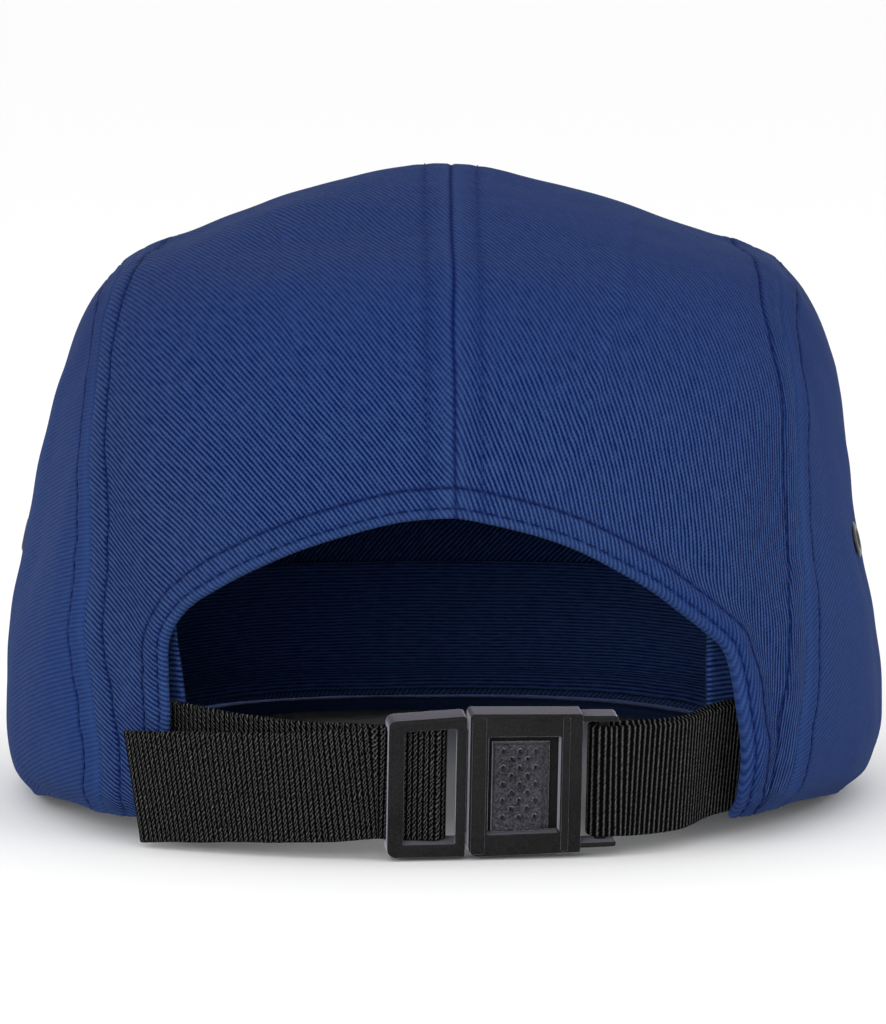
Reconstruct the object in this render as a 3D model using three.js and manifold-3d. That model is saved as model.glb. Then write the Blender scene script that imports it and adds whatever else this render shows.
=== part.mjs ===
// A low five-panel jockey cap in cotton twill, with a short peak and an arched opening
// behind that a webbing strap and a plastic clip close.
// Millimetres, +Z up. The peak points along +Y, the strap is at the back, -Y.
// Left is -X. The cap rests on z = 0.
import * as THREE from "three";
import { mergeVertices } from "three/addons/utils/BufferGeometryUtils.js";
import Module from "manifold-3d";

const wasm = await Module();
wasm.setup();

const CLOTH = 1.6; // wall of one panel with its turned seam
const GAP = 0.3; // between pieces that touch
const SEAM_GAP = 0.6; // between two panels along their seam
const degrees = Math.PI / 180;

// The crown's outer surface. A ring is 0 at the apex and 1 at the rim. Each row is the
// crown's level section there: an oval with its own reach to the side, back and front.
const CROWN = [
  { ring: 0.0, height: 127.7, side: 0.0, back: 0.0, front: 0.0, square: 2.0, shift: -0.4 },
  { ring: 0.17, height: 122.6, side: 28.2, back: 30.0, front: 33.0, square: 2.05, shift: -0.5 },
  { ring: 0.31, height: 114.4, side: 51.0, back: 51.5, front: 58.0, square: 2.15, shift: 1.0 },
  { ring: 0.38, height: 108.4, side: 65.6, back: 63.0, front: 70.0, square: 2.25, shift: 1.5 },
  { ring: 0.44, height: 100.4, side: 73.0, back: 71.5, front: 78.5, square: 2.3, shift: 1.5 },
  { ring: 0.51, height: 88.0, side: 78.0, back: 80.0, front: 85.0, square: 2.3, shift: 1.7 },
  { ring: 0.59, height: 73.0, side: 81.2, back: 87.0, front: 89.5, square: 2.25, shift: 0.7 },
  { ring: 0.68, height: 57.0, side: 83.6, back: 91.5, front: 93.0, square: 2.25, shift: 0.0 },
  { ring: 0.73, height: 48.5, side: 85.4, back: 94.0, front: 94.5, square: 2.25, shift: 0.0 },
  { ring: 0.8, height: 36.0, side: 88.0, back: 96.5, front: 96.0, square: 2.25, shift: 0.0 },
  { ring: 0.91, height: 16.0, side: 89.2, back: 98.0, front: 97.5, square: 2.25, shift: 0.0 },
  { ring: 0.965, height: 5.5, side: 87.0, back: 96.5, front: 96.5, square: 2.25, shift: -0.7 },
  { ring: 1.0, height: 0.0, side: 82.8, back: 93.0, front: 94.0, square: 2.25, shift: -1.4 },
];

// The rim rises a little towards the back corners and the peak.
const BACK_LIFT = { rise: 4.2, from: 5, over: -65 };
const FRONT_LIFT = { rise: 7.0, from: 15, over: 80 };
const LIFT_FADES_AT = 60;

// Lines on the crown: a ring, and a bearing in degrees with 0 right, 90 front, -90 back.
const ARCH_LEFT = [
  { ring: 1.0, bearing: -127.0 },
  { ring: 0.955, bearing: -125.0 },
  { ring: 0.878, bearing: -124.2 },
  { ring: 0.821, bearing: -124.8 },
  { ring: 0.778, bearing: -125.1 },
  { ring: 0.747, bearing: -123.2 },
  { ring: 0.717, bearing: -118.3 },
  { ring: 0.684, bearing: -110.9 },
  { ring: 0.654, bearing: -101.5 },
  { ring: 0.636, bearing: -93.5 },
  { ring: 0.633, bearing: -89.0 },
];
const ARCH_RIGHT = [
  { ring: 1.0, bearing: -51.1 },
  { ring: 0.955, bearing: -51.9 },
  { ring: 0.867, bearing: -52.6 },
  { ring: 0.831, bearing: -53.0 },
  { ring: 0.794, bearing: -54.1 },
  { ring: 0.772, bearing: -56.6 },
  { ring: 0.741, bearing: -61.0 },
  { ring: 0.714, bearing: -65.0 },
  { ring: 0.681, bearing: -71.4 },
  { ring: 0.646, bearing: -82.5 },
  { ring: 0.633, bearing: -89.0 },
];
const SIDE_SEAM_LEFT = [
  { ring: 1.0, bearing: -138.5 },
  { ring: 0.935, bearing: -136.3 },
  { ring: 0.86, bearing: -138.0 },
  { ring: 0.78, bearing: -141.0 },
  { ring: 0.7, bearing: -142.4 },
  { ring: 0.545, bearing: -150.2 },
  { ring: 0.46, bearing: -156.1 },
  { ring: 0.412, bearing: -162.2 },
  { ring: 0.381, bearing: -174.4 },
  { ring: 0.368, bearing: -186.7 },
  { ring: 0.372, bearing: -201.5 },
  { ring: 0.392, bearing: -215.1 },
  { ring: 0.425, bearing: -225.5 },
];
const SIDE_SEAM_RIGHT = [
  { ring: 1.0, bearing: -40.5 },
  { ring: 0.907, bearing: -42.0 },
  { ring: 0.826, bearing: -39.6 },
  { ring: 0.746, bearing: -37.0 },
  { ring: 0.706, bearing: -35.4 },
  { ring: 0.554, bearing: -34.2 },
  { ring: 0.461, bearing: -30.5 },
  { ring: 0.415, bearing: -23.0 },
  { ring: 0.384, bearing: -11.5 },
  { ring: 0.368, bearing: 2.5 },
  { ring: 0.37, bearing: 19.0 },
  { ring: 0.392, bearing: 35.1 },
  { ring: 0.425, bearing: 45.5 },
];
const MID_SEAM = [
  { ring: 0.633, bearing: -89.0 },
  { ring: 0.51, bearing: -89.8 },
  { ring: 0.31, bearing: -89.3 },
  { ring: 0.17, bearing: -86.0 },
  { ring: 0.05, bearing: -76.0 },
  { ring: 0.17, bearing: 86.0 },
  { ring: 0.333, bearing: 90.0 },
];
const FRONT_SEAM_LEFT = [
  { ring: 1.0, bearing: 149.0 },
  { ring: 0.8, bearing: 147.0 },
  { ring: 0.6, bearing: 143.0 },
  { ring: 0.48, bearing: 138.5 },
  { ring: 0.425, bearing: 134.5 },
];
const FRONT_SEAM_RIGHT = FRONT_SEAM_LEFT.map(({ ring, bearing }) => ({ ring, bearing: 180 - bearing }));
const FRONT_SEAM_TOP = [
  { ring: 0.425, bearing: 134.5 },
  { ring: 0.361, bearing: 115.7 },
  { ring: 0.333, bearing: 90.0 },
  { ring: 0.361, bearing: 64.3 },
  { ring: 0.425, bearing: 45.5 },
];

// Facets. Panels that meet have their corners at the same places along the seam.
const FACETS = { rear: 14, side: 18, halfFront: 7, top: 11, front: 11 };
const REAR_SHARE = 0.52; // share of a side seam, from the rim, that is the side panel's rear edge

const SWEATBAND = { from: -44, to: 224, low: 0.975, high: 0.82, clearance: 1.3, thickness: 1.2 };

const PEAK = {
  spread: 57, // degrees each side of the front
  tuck: 2.0, // under the front panel's edge
  halfWidth: 75,
  back: 58,
  front: 163,
  roundness: 0.78,
  thickness: 2.6,
  edgeHeight: 6.2,
  edgeDroop: 3.5,
};

const EYELETS = [
  { name: "eyelet_left", ring: 0.705, bearing: -179 },
  { name: "eyelet_right", ring: 0.7, bearing: -10.9 },
];
const EYELET = { bore: 1.6, barrel: 2.2, flange: 3.6, dome: 0.6, hole: 2.5 };

const WEBBING = { width: 22.2, thickness: 1.3 };

// The clip's own frame: x along it from its left end, y up its front face, z out of it.
const CLIP = { left: -10.4, back: -99.4, mid: 13.8, lean: 12, yaw: 7.5, height: 27.6 };
const FRAME = { length: 14.6, depth: 6.4, rail: 1.7, leftBar: 3.0, rightBar: 1.7, lipDepth: 2.2 };
const STRAP_BAR = { from: 7.4, to: 9.4, front: -2.7, back: -4.5 };
const BODY = { from: 15.9, to: 37.2, end: 44.2, depth: 7.6, wall: 1.5, endHeight: 25.0, endRail: 1.1 };
const END_BAR = { from: 40.3, to: 42.9, front: -2.7, back: -4.9 };
const WINDOW = { from: 20.0, to: 32.7, low: -8.7, high: 10.7 };
const TONGUE = { to: 34.6, halfHeight: 10.2, front: -3.4, back: -5.6 };
const BUTTON = { beside: 0.8, below: 0.4, above: 1.7, front: -0.6, back: -3.0 };

// Middle lines of the straps. On the cap a row is a place and how far the tape leans out at
// its top. At the clip it is a place along the clip and out of its front.
const TAPE_LEFT = {
  inner: [
    { x: -58.2, y: -71.5, z: 17.9, lean: 5 },
    { x: -53.3, y: -75.9, z: 17.6, lean: 6 },
    { x: -45.0, y: -82.8, z: 16.9, lean: 8 },
    { x: -35.0, y: -88.4, z: 16.2, lean: 10 },
    { x: -24.0, y: -92.1, z: 15.7, lean: 12 },
  ],
  innerAtClip: [
    { along: 0.0, out: -5.6 },
    { along: 4.0, out: -5.6 },
  ],
  outerAtClip: [
    { along: 4.2, out: -2.9 },
    { along: 1.5, out: -3.4 },
    { along: -2.5, out: -3.6 },
  ],
  outer: [
    { x: -25.0, y: -94.9, z: 13.9, lean: 12 },
    { x: -38.0, y: -90.9, z: 13.5, lean: 12 },
    { x: -48.0, y: -86.4, z: 12.9, lean: 12 },
    { x: -54.2, y: -83.1, z: 12.5, lean: 12 },
    { x: -58.5, y: -80.1, z: 12.1, lean: 12 },
    { x: -59.8, y: -79.1, z: 12.0, lean: 12 },
  ],
};
const TAPE_RIGHT = {
  outer: [
    { x: 58.4, y: -68.1, z: 17.0, lean: 13 },
    { x: 55.2, y: -71.5, z: 16.8, lean: 13 },
    { x: 50.9, y: -76.9, z: 16.3, lean: 13 },
    { x: 45.0, y: -85.6, z: 14.6, lean: 12 },
  ],
  outerAtClip: [
    { along: 46.5, out: -2.2 },
    { along: 43.0, out: -1.75 },
  ],
  innerAtClip: [
    { along: 43.0, out: -5.85 },
    { along: 46.5, out: -5.7 },
  ],
  inner: [
    { x: 45.0, y: -83.0, z: 15.4, lean: 12 },
    { x: 50.8, y: -74.5, z: 16.5, lean: 13 },
    { x: 55.2, y: -69.3, z: 17.0, lean: 13 },
    { x: 58.4, y: -65.9, z: 17.1, lean: 13 },
  ],
};

const BLUE = new THREE.Color(0.075, 0.13, 0.33);
const BLACK = new THREE.Color(0.03, 0.03, 0.035);

function material(color, roughness, metalness) {
  return new THREE.MeshStandardMaterial({ color, roughness, metalness, side: THREE.DoubleSide });
}

// A smooth step from 0 to 1.
function ease(share) {
  const t = Math.min(Math.max(share, 0), 1);
  return t * t * (3 - 2 * t);
}

// A smooth curve through values at given knots, by slopes across each pair of neighbours.
function smooth(knots, values, at) {
  const last = knots.length - 2;
  let i = 1;
  while (i < last - 1 && at > knots[i + 1]) i++;
  const [x0, x1, x2, x3] = [knots[i - 1], knots[i], knots[i + 1], knots[i + 2]];
  const [y0, y1, y2, y3] = [values[i - 1], values[i], values[i + 1], values[i + 2]];
  const h = x2 - x1;
  const t = (at - x1) / h;
  const slopeIn = ((y2 - y0) / (x2 - x0)) * h;
  const slopeOut = ((y3 - y1) / (x3 - x1)) * h;
  return (
    (2 * t ** 3 - 3 * t ** 2 + 1) * y1 +
    (t ** 3 - 2 * t ** 2 + t) * slopeIn +
    (-2 * t ** 3 + 3 * t ** 2) * y2 +
    (t ** 3 - t ** 2) * slopeOut
  );
}

// The crown's table goes on past the apex as its own mirror image, and past the rim.
const mirrored = { ...CROWN[1] };
for (const column of ["ring", "side", "back", "front"]) mirrored[column] *= -1;
const beyond = {};
for (const column of Object.keys(CROWN[0])) beyond[column] = 2 * CROWN.at(-1)[column] - CROWN.at(-2)[column];
const sections = [mirrored, ...CROWN, beyond];
const rings = sections.map((row) => row.ring);
const columns = {};
for (const column of Object.keys(CROWN[0])) columns[column] = sections.map((row) => row[column]);

function place({ ring, bearing }) {
  return new THREE.Vector2(ring * Math.cos(bearing * degrees), ring * Math.sin(bearing * degrees));
}

// The crown's outer surface over a disk: its centre is the apex and its edge the rim.
function crownPoint(spot) {
  const ring = spot.length();
  const angle = Math.atan2(spot.y, spot.x);
  const section = {};
  for (const column of Object.keys(columns)) section[column] = smooth(rings, columns[column], ring);
  const power = 2 / section.square;
  const [c, s] = [Math.cos(angle), Math.sin(angle)];
  const reach = s < 0 ? section.back : section.front;
  const x = section.shift + section.side * Math.sign(c) * Math.abs(c) ** power;
  const y = reach * Math.sign(s) * Math.abs(s) ** power;
  const z = section.height;
  const lift =
    BACK_LIFT.rise * ease((y - BACK_LIFT.from) / BACK_LIFT.over) +
    FRONT_LIFT.rise * ease((y - FRONT_LIFT.from) / FRONT_LIFT.over);
  return new THREE.Vector3(x, y, z + lift * ease(1 - z / LIFT_FADES_AT));
}

function crownNormal(spot) {
  const step = 0.004;
  const east = new THREE.Vector2(step, 0);
  const north = new THREE.Vector2(0, step);
  const alongEast = crownPoint(spot.clone().add(east)).sub(crownPoint(spot.clone().sub(east)));
  const alongNorth = crownPoint(spot.clone().add(north)).sub(crownPoint(spot.clone().sub(north)));
  return alongEast.cross(alongNorth).normalize();
}

// A smooth line through points, by share of its length, as a function of 0 to 1.
function route(points) {
  const knots = [0];
  points.slice(1).forEach((p, i) => knots.push(knots[i] + p.distanceTo(points[i])));
  const padded = [points[0].clone().multiplyScalar(2).sub(points[1]), ...points];
  padded.push(points.at(-1).clone().multiplyScalar(2).sub(points.at(-2)));
  const total = knots.at(-1);
  const spread = [-knots[1], ...knots, 2 * total - knots.at(-2)];
  const axes = ["x", "y", "z"].filter((axis) => axis in points[0]);
  return (share) => {
    const point = points[0].clone();
    for (const axis of axes) point[axis] = smooth(spread, padded.map((p) => p[axis]), share * total);
    return point;
  };
}

const line = (rows) => route(rows.map(place));
const backwards = (curve) => (share) => curve(1 - share);
const part = (curve, from, to) => (share) => curve(from + (to - from) * share);

// Lines end to end, each with its own number of facets.
function chain(links) {
  const total = links.reduce((sum, link) => sum + link.facets, 0);
  return (share) => {
    let before = 0;
    for (const { curve, facets } of links) {
      const at = (share * total - before) / facets;
      if (at <= 1 + 1e-9) return curve(Math.min(at, 1));
      before += facets;
    }
    return links.at(-1).curve(1);
  };
}

// A stretch of the rim between two bearings.
const rim = (from, to) => (share) => place({ ring: 1, bearing: from + (to - from) * share });

// Fills the space between four lines. low and high run from start to end.
function between(low, high, start, end) {
  const corners = [low(0), low(1), high(0), high(1)];
  return (p, q) => {
    const spot = new THREE.Vector2();
    spot.addScaledVector(low(p), 1 - q).addScaledVector(high(p), q);
    spot.addScaledVector(start(q), 1 - p).addScaledVector(end(q), p);
    spot.addScaledVector(corners[0], -(1 - p) * (1 - q)).addScaledVector(corners[1], -p * (1 - q));
    spot.addScaledVector(corners[2], -(1 - p) * q).addScaledVector(corners[3], -p * q);
    return spot;
  };
}

function geometryOf(positions, triangles) {
  const geometry = new THREE.BufferGeometry();
  geometry.setAttribute("position", new THREE.BufferAttribute(new Float32Array(positions), 3));
  geometry.setIndex(triangles);
  return geometry;
}

// Volume inside a closed mesh, negative when its faces point in.
function volumeOf(positions, triangles) {
  const corner = (i) => new THREE.Vector3().fromArray(positions, 3 * i);
  let volume = 0;
  for (let i = 0; i < triangles.length; i += 3) {
    const [a, b, c] = triangles.slice(i, i + 3).map(corner);
    volume += a.dot(b.cross(c)) / 6;
  }
  return volume;
}

// A closed wall between two grids of points, outer and inner, with the same rows and columns.
function wall(outer, inner) {
  const [rows, cols] = [outer.length, outer[0].length];
  const positions = [...outer.flat(), ...inner.flat()].flatMap((p) => p.toArray());
  const at = (side, i, j) => side * rows * cols + i * cols + j;
  const triangles = [];
  const quad = (a, b, c, d) => triangles.push(a, b, c, a, c, d);
  for (let i = 0; i < rows - 1; i++) {
    for (let j = 0; j < cols - 1; j++) {
      quad(at(0, i, j), at(0, i, j + 1), at(0, i + 1, j + 1), at(0, i + 1, j));
      quad(at(1, i, j), at(1, i + 1, j), at(1, i + 1, j + 1), at(1, i, j + 1));
    }
  }
  for (let j = 0; j < cols - 1; j++) {
    quad(at(0, 0, j), at(1, 0, j), at(1, 0, j + 1), at(0, 0, j + 1));
    quad(at(0, rows - 1, j + 1), at(1, rows - 1, j + 1), at(1, rows - 1, j), at(0, rows - 1, j));
  }
  for (let i = 0; i < rows - 1; i++) {
    quad(at(0, i + 1, 0), at(1, i + 1, 0), at(1, i, 0), at(0, i, 0));
    quad(at(0, i, cols - 1), at(1, i, cols - 1), at(1, i + 1, cols - 1), at(0, i + 1, cols - 1));
  }
  if (volumeOf(positions, triangles) < 0) triangles.reverse();
  return geometryOf(positions, triangles);
}

// Draws a grid's edge back from a seam by half its gap.
function drawBack(grid, edge, next) {
  edge.forEach(([i, j], k) => {
    const [m, n] = next[k];
    const distance = crownPoint(grid[i][j]).distanceTo(crownPoint(grid[m][n]));
    grid[i][j] = grid[i][j].clone().lerp(grid[m][n], SEAM_GAP / 2 / distance);
  });
}

// A panel of cloth on the crown. seams names its edges that meet another panel.
// crowding above 1 draws its rows together towards the last one.
function panel(patch, across, up, seams, crowding = 1) {
  const grid = [];
  for (let j = 0; j <= up; j++) {
    grid.push([]);
    const q = 1 - (1 - j / up) ** crowding;
    for (let i = 0; i <= across; i++) grid[j].push(patch(i / across, q));
  }
  const span = [...Array(across + 1).keys()];
  const climb = [...Array(up + 1).keys()];
  const edges = {
    low: [span.map((i) => [0, i]), span.map((i) => [1, i])],
    high: [span.map((i) => [up, i]), span.map((i) => [up - 1, i])],
    start: [climb.map((j) => [j, 0]), climb.map((j) => [j, 1])],
    end: [climb.map((j) => [j, across]), climb.map((j) => [j, across - 1])],
  };
  for (const seam of seams) drawBack(grid, ...edges[seam]);
  return skin(grid, 0, CLOTH);
}

// A wall that follows the crown, from one depth below its outer surface to another.
function skin(grid, shallow, deep) {
  const outer = grid.map((row) => row.map((s) => crownPoint(s).addScaledVector(crownNormal(s), -shallow)));
  const inner = grid.map((row) => row.map((s) => crownPoint(s).addScaledVector(crownNormal(s), -deep)));
  return wall(outer, inner);
}

const sideSeam = { left: line(SIDE_SEAM_LEFT), right: line(SIDE_SEAM_RIGHT) };
const arch = { left: line(ARCH_LEFT), right: line(ARCH_RIGHT) };
const frontSeam = { left: line(FRONT_SEAM_LEFT), right: line(FRONT_SEAM_RIGHT) };
const frontTop = line(FRONT_SEAM_TOP);
const midSeam = line(MID_SEAM);
const rimStart = { left: SIDE_SEAM_LEFT[0].bearing, right: SIDE_SEAM_RIGHT[0].bearing };
const archStart = { left: ARCH_LEFT[0].bearing, right: ARCH_RIGHT[0].bearing };

// From the arch to the side seam, fanning out from the short stretch of rim at its corner.
function topPanel(side) {
  const toMiddle = side === "left" ? part(frontTop, 0, 0.5) : backwards(part(frontTop, 0.5, 1));
  const rear = part(sideSeam[side], 0, REAR_SHARE);
  const shoulder = part(sideSeam[side], REAR_SHARE, 1);
  const outside = chain([
    { curve: rear, facets: FACETS.rear },
    { curve: shoulder, facets: FACETS.side },
    { curve: toMiddle, facets: FACETS.halfFront },
  ]);
  const corner = rim(archStart[side], rimStart[side]);
  const across = FACETS.rear + FACETS.side + FACETS.halfFront;
  return panel(between(arch[side], outside, corner, midSeam), across, FACETS.top, ["high", "end"], 1.4);
}

function sidePanel(side) {
  const rear = part(sideSeam[side], 0, REAR_SHARE);
  const top = part(sideSeam[side], REAR_SHARE, 1);
  const frontBearing = side === "left" ? FRONT_SEAM_LEFT[0].bearing - 360 : FRONT_SEAM_RIGHT[0].bearing;
  const low = rim(rimStart[side], frontBearing);
  const patch = between(low, top, rear, frontSeam[side]);
  const geometry = panel(patch, FACETS.side, FACETS.rear, ["high", "start", "end"]);
  const eyelet = EYELETS.find(({ name }) => name.endsWith(side));
  return punched(geometry, eyelet);
}

function frontPanel() {
  const low = rim(FRONT_SEAM_LEFT[0].bearing, FRONT_SEAM_RIGHT[0].bearing);
  const patch = between(low, frontTop, frontSeam.left, frontSeam.right);
  return panel(patch, 2 * FACETS.halfFront, FACETS.front, ["high", "start", "end"]);
}

function sweatband() {
  const grid = [];
  for (let j = 0; j <= 3; j++) {
    const ring = SWEATBAND.low + ((SWEATBAND.high - SWEATBAND.low) * j) / 3;
    grid.push([]);
    for (let i = 0; i <= 48; i++) {
      const bearing = SWEATBAND.from + ((SWEATBAND.to - SWEATBAND.from) * i) / 48;
      grid[j].push(place({ ring, bearing }));
    }
  }
  const depth = CLOTH + SWEATBAND.clearance;
  return skin(grid, depth, depth + SWEATBAND.thickness);
}

// The peak: an inner edge tucked under the front rim, and an outer edge on a rounded oblong.
function peak() {
  const [across, out] = [26, 6];
  const top = [];
  const bottom = [];
  for (let j = 0; j <= out; j++) {
    top.push([]);
    bottom.push([]);
    for (let i = 0; i <= across; i++) {
      const turn = 1 - (2 * i) / across;
      const spot = place({ ring: 1, bearing: 90 + turn * PEAK.spread });
      const inner = crownPoint(spot);
      const toCentre = new THREE.Vector3(-inner.x, -inner.y, 0).normalize();
      inner.addScaledVector(toCentre, PEAK.tuck).setZ(inner.z - GAP);
      const angle = (turn * Math.PI) / 2;
      const [s, c] = [Math.sin(angle), Math.cos(angle)];
      const outer = new THREE.Vector3(
        -PEAK.halfWidth * Math.sign(s) * Math.abs(s) ** PEAK.roundness,
        PEAK.back + (PEAK.front - PEAK.back) * Math.max(c, 0) ** PEAK.roundness,
        PEAK.edgeHeight - PEAK.edgeDroop * s ** 2,
      );
      const point = inner.lerp(outer, j / out);
      top[j].push(point);
      bottom[j].push(point.clone().setZ(point.z - PEAK.thickness));
    }
  }
  return wall(top, bottom);
}

function toSolid(geometry) {
  const bare = new THREE.BufferGeometry();
  bare.setAttribute("position", geometry.getAttribute("position"));
  if (geometry.index) bare.setIndex(geometry.index);
  const merged = mergeVertices(bare, 1e-4);
  return new wasm.Manifold(
    new wasm.Mesh({
      numProp: 3,
      vertProperties: new Float32Array(merged.getAttribute("position").array),
      triVerts: new Uint32Array(merged.index.array),
    }),
  );
}

function toGeometry(solid) {
  const mesh = solid.getMesh();
  return geometryOf(mesh.vertProperties, [...mesh.triVerts]);
}

function punched(geometry, { ring, bearing }) {
  const spot = place({ ring, bearing });
  const punch = new THREE.CylinderGeometry(EYELET.hole, EYELET.hole, 12, 16);
  punch.applyQuaternion(turnTo(crownNormal(spot)));
  punch.translate(...crownPoint(spot).toArray());
  return toGeometry(toSolid(geometry).subtract(toSolid(punch)));
}

function turnTo(normal) {
  return new THREE.Quaternion().setFromUnitVectors(new THREE.Vector3(0, 1, 0), normal);
}

// A spool: a domed flange outside the cloth, a barrel through it and a flat washer inside.
function eyeletGeometry() {
  const outside = GAP;
  const inside = -CLOTH - GAP;
  const profile = [
    [EYELET.bore, inside - 0.6],
    [EYELET.flange - 0.3, inside - 0.6],
    [EYELET.flange - 0.3, inside],
    [EYELET.barrel, inside],
    [EYELET.barrel, outside],
    [EYELET.flange, outside],
    [EYELET.flange - 0.4, outside + 0.6 * EYELET.dome],
    [EYELET.flange - 1.1, outside + EYELET.dome],
    [EYELET.bore + 0.3, outside + 0.7 * EYELET.dome],
    [EYELET.bore, outside],
    [EYELET.bore, inside - 0.6],
  ];
  return new THREE.LatheGeometry(profile.map(([r, y]) => new THREE.Vector2(r, y)), 20);
}

// A box in the clip's own frame.
function block(x0, x1, y0, y1, z0, z1) {
  const box = new THREE.BoxGeometry(x1 - x0, y1 - y0, z1 - z0);
  box.translate((x0 + x1) / 2, (y0 + y1) / 2, (z0 + z1) / 2);
  return toSolid(box);
}

// A plate with bevelled edges, from its front face at 0 back to a depth.
function plate(points, depth) {
  const shape = new THREE.Shape(points.map(([x, y]) => new THREE.Vector2(x, y)));
  const bevel = 0.5;
  const geometry = new THREE.ExtrudeGeometry(shape, {
    depth: depth - 2 * bevel,
    bevelThickness: bevel,
    bevelSize: bevel,
    bevelOffset: -bevel,
    bevelSegments: 1,
  });
  geometry.translate(0, 0, bevel - depth);
  return toSolid(geometry);
}

// A rectangle with cut corners: half heights and cuts at its two ends.
function cornered(x0, x1, h0, h1, cut0, cut1) {
  return [
    [x0 + cut0, -h0],
    [x1 - cut1, -h1],
    [x1, -h1 + cut1],
    [x1, h1 - cut1],
    [x1 - cut1, h1],
    [x0 + cut0, h0],
    [x0, h0 - cut0],
    [x0, -h0 + cut0],
  ];
}

// A bar with round edges across a slot.
function crossBar({ from, to, front, back }, reach) {
  const radius = (front - back) / 2;
  const middle = (front + back) / 2;
  const outline = new THREE.Shape();
  outline.absarc(to - radius, middle, radius, -Math.PI / 2, Math.PI / 2);
  outline.absarc(from + radius, middle, radius, Math.PI / 2, 1.5 * Math.PI);
  const options = { depth: 2 * reach, bevelEnabled: false, curveSegments: 6 };
  const geometry = new THREE.ExtrudeGeometry(outline, options);
  geometry.rotateX(Math.PI / 2);
  geometry.translate(0, reach, 0);
  return toSolid(geometry);
}

function buckleLeft() {
  const h = CLIP.height / 2;
  const slot = h - FRAME.rail;
  const outline = plate(cornered(0, FRAME.length, h - 0.3, h, 1.6, 0.4), FRAME.depth);
  const inSlot = block(FRAME.leftBar, FRAME.length - FRAME.rightBar, -slot, slot, -20, 5);
  const behindLip = block(-5, FRAME.leftBar + 1, -slot, slot, -20, -FRAME.lipDepth);
  const bar = crossBar(STRAP_BAR, slot + 0.5);
  const tongue = block(
    FRAME.length - 0.8, TONGUE.to, -TONGUE.halfHeight, TONGUE.halfHeight, TONGUE.back, TONGUE.front,
  );
  return toGeometry(outline.subtract(inSlot).subtract(behindLip).add(bar).add(tongue));
}

function buckleRight() {
  const h = CLIP.height / 2;
  const end = BODY.endHeight / 2;
  const points = [
    [BODY.from + 0.5, -h],
    [BODY.to - 4, -h + 0.3],
    [BODY.to, -end - 0.5],
    [BODY.end - 1.2, -end],
    [BODY.end, -end + 1.2],
    [BODY.end, end - 1.2],
    [BODY.end - 1.2, end],
    [BODY.to, end + 0.5],
    [BODY.to - 4, h - 0.3],
    [BODY.from + 0.5, h],
    [BODY.from, h - 0.5],
    [BODY.from, -h + 0.5],
  ];
  const slot = end - BODY.endRail;
  const outline = plate(points, BODY.depth);
  const hollow = block(
    BODY.from - 5, BODY.to - BODY.wall, -h + BODY.wall, h - BODY.wall, -BODY.depth + BODY.wall, -BODY.wall,
  );
  const window = block(WINDOW.from, WINDOW.to, WINDOW.low, WINDOW.high, -3, 5);
  const strapSlot = block(BODY.to, 60, -slot, slot, -20, 5);
  const bar = crossBar(END_BAR, slot + 0.5);
  return toGeometry(outline.subtract(hollow).subtract(window).subtract(strapSlot).add(bar));
}

function releaseButton() {
  const [left, right] = [WINDOW.from + BUTTON.beside, WINDOW.to - BUTTON.beside];
  const [low, high] = [WINDOW.low + BUTTON.below, WINDOW.high - BUTTON.above];
  return toGeometry(block(left, right, low, high, BUTTON.back, BUTTON.front));
}

// The clip stands at the back, its top leaning out and its right end turned away.
const clip = new THREE.Group();
clip.position.set(CLIP.left, CLIP.back, CLIP.mid);
clip.rotation.set(Math.PI / 2 + CLIP.lean * degrees, 0, CLIP.yaw * degrees, "ZYX");
clip.updateMatrixWorld(true);

// Rows of a strap's middle line, from places in the clip's frame or on the cap.
function onClip({ along, out }) {
  return { point: new THREE.Vector3(along, 0, out).applyMatrix4(clip.matrixWorld), lean: CLIP.lean };
}

function onCap({ x, y, z, lean }) {
  return { point: new THREE.Vector3(x, y, z), lean };
}

// Half a turn round a bar. side is -1 where the strap comes from the bar's left.
function roundBar(bar, side) {
  const radius = (bar.front - bar.back) / 2 + GAP + WEBBING.thickness / 2;
  const centre = (bar.front + bar.back) / 2;
  const end = side < 0 ? bar.to - (bar.front - bar.back) / 2 : bar.from + (bar.front - bar.back) / 2;
  const rows = [];
  for (let i = 0; i <= 6; i++) {
    const angle = Math.PI * (0.5 - i / 6);
    const along = end - side * radius * Math.cos(angle);
    rows.push(onClip({ along, out: centre + radius * Math.sin(angle) }));
  }
  return rows;
}

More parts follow.
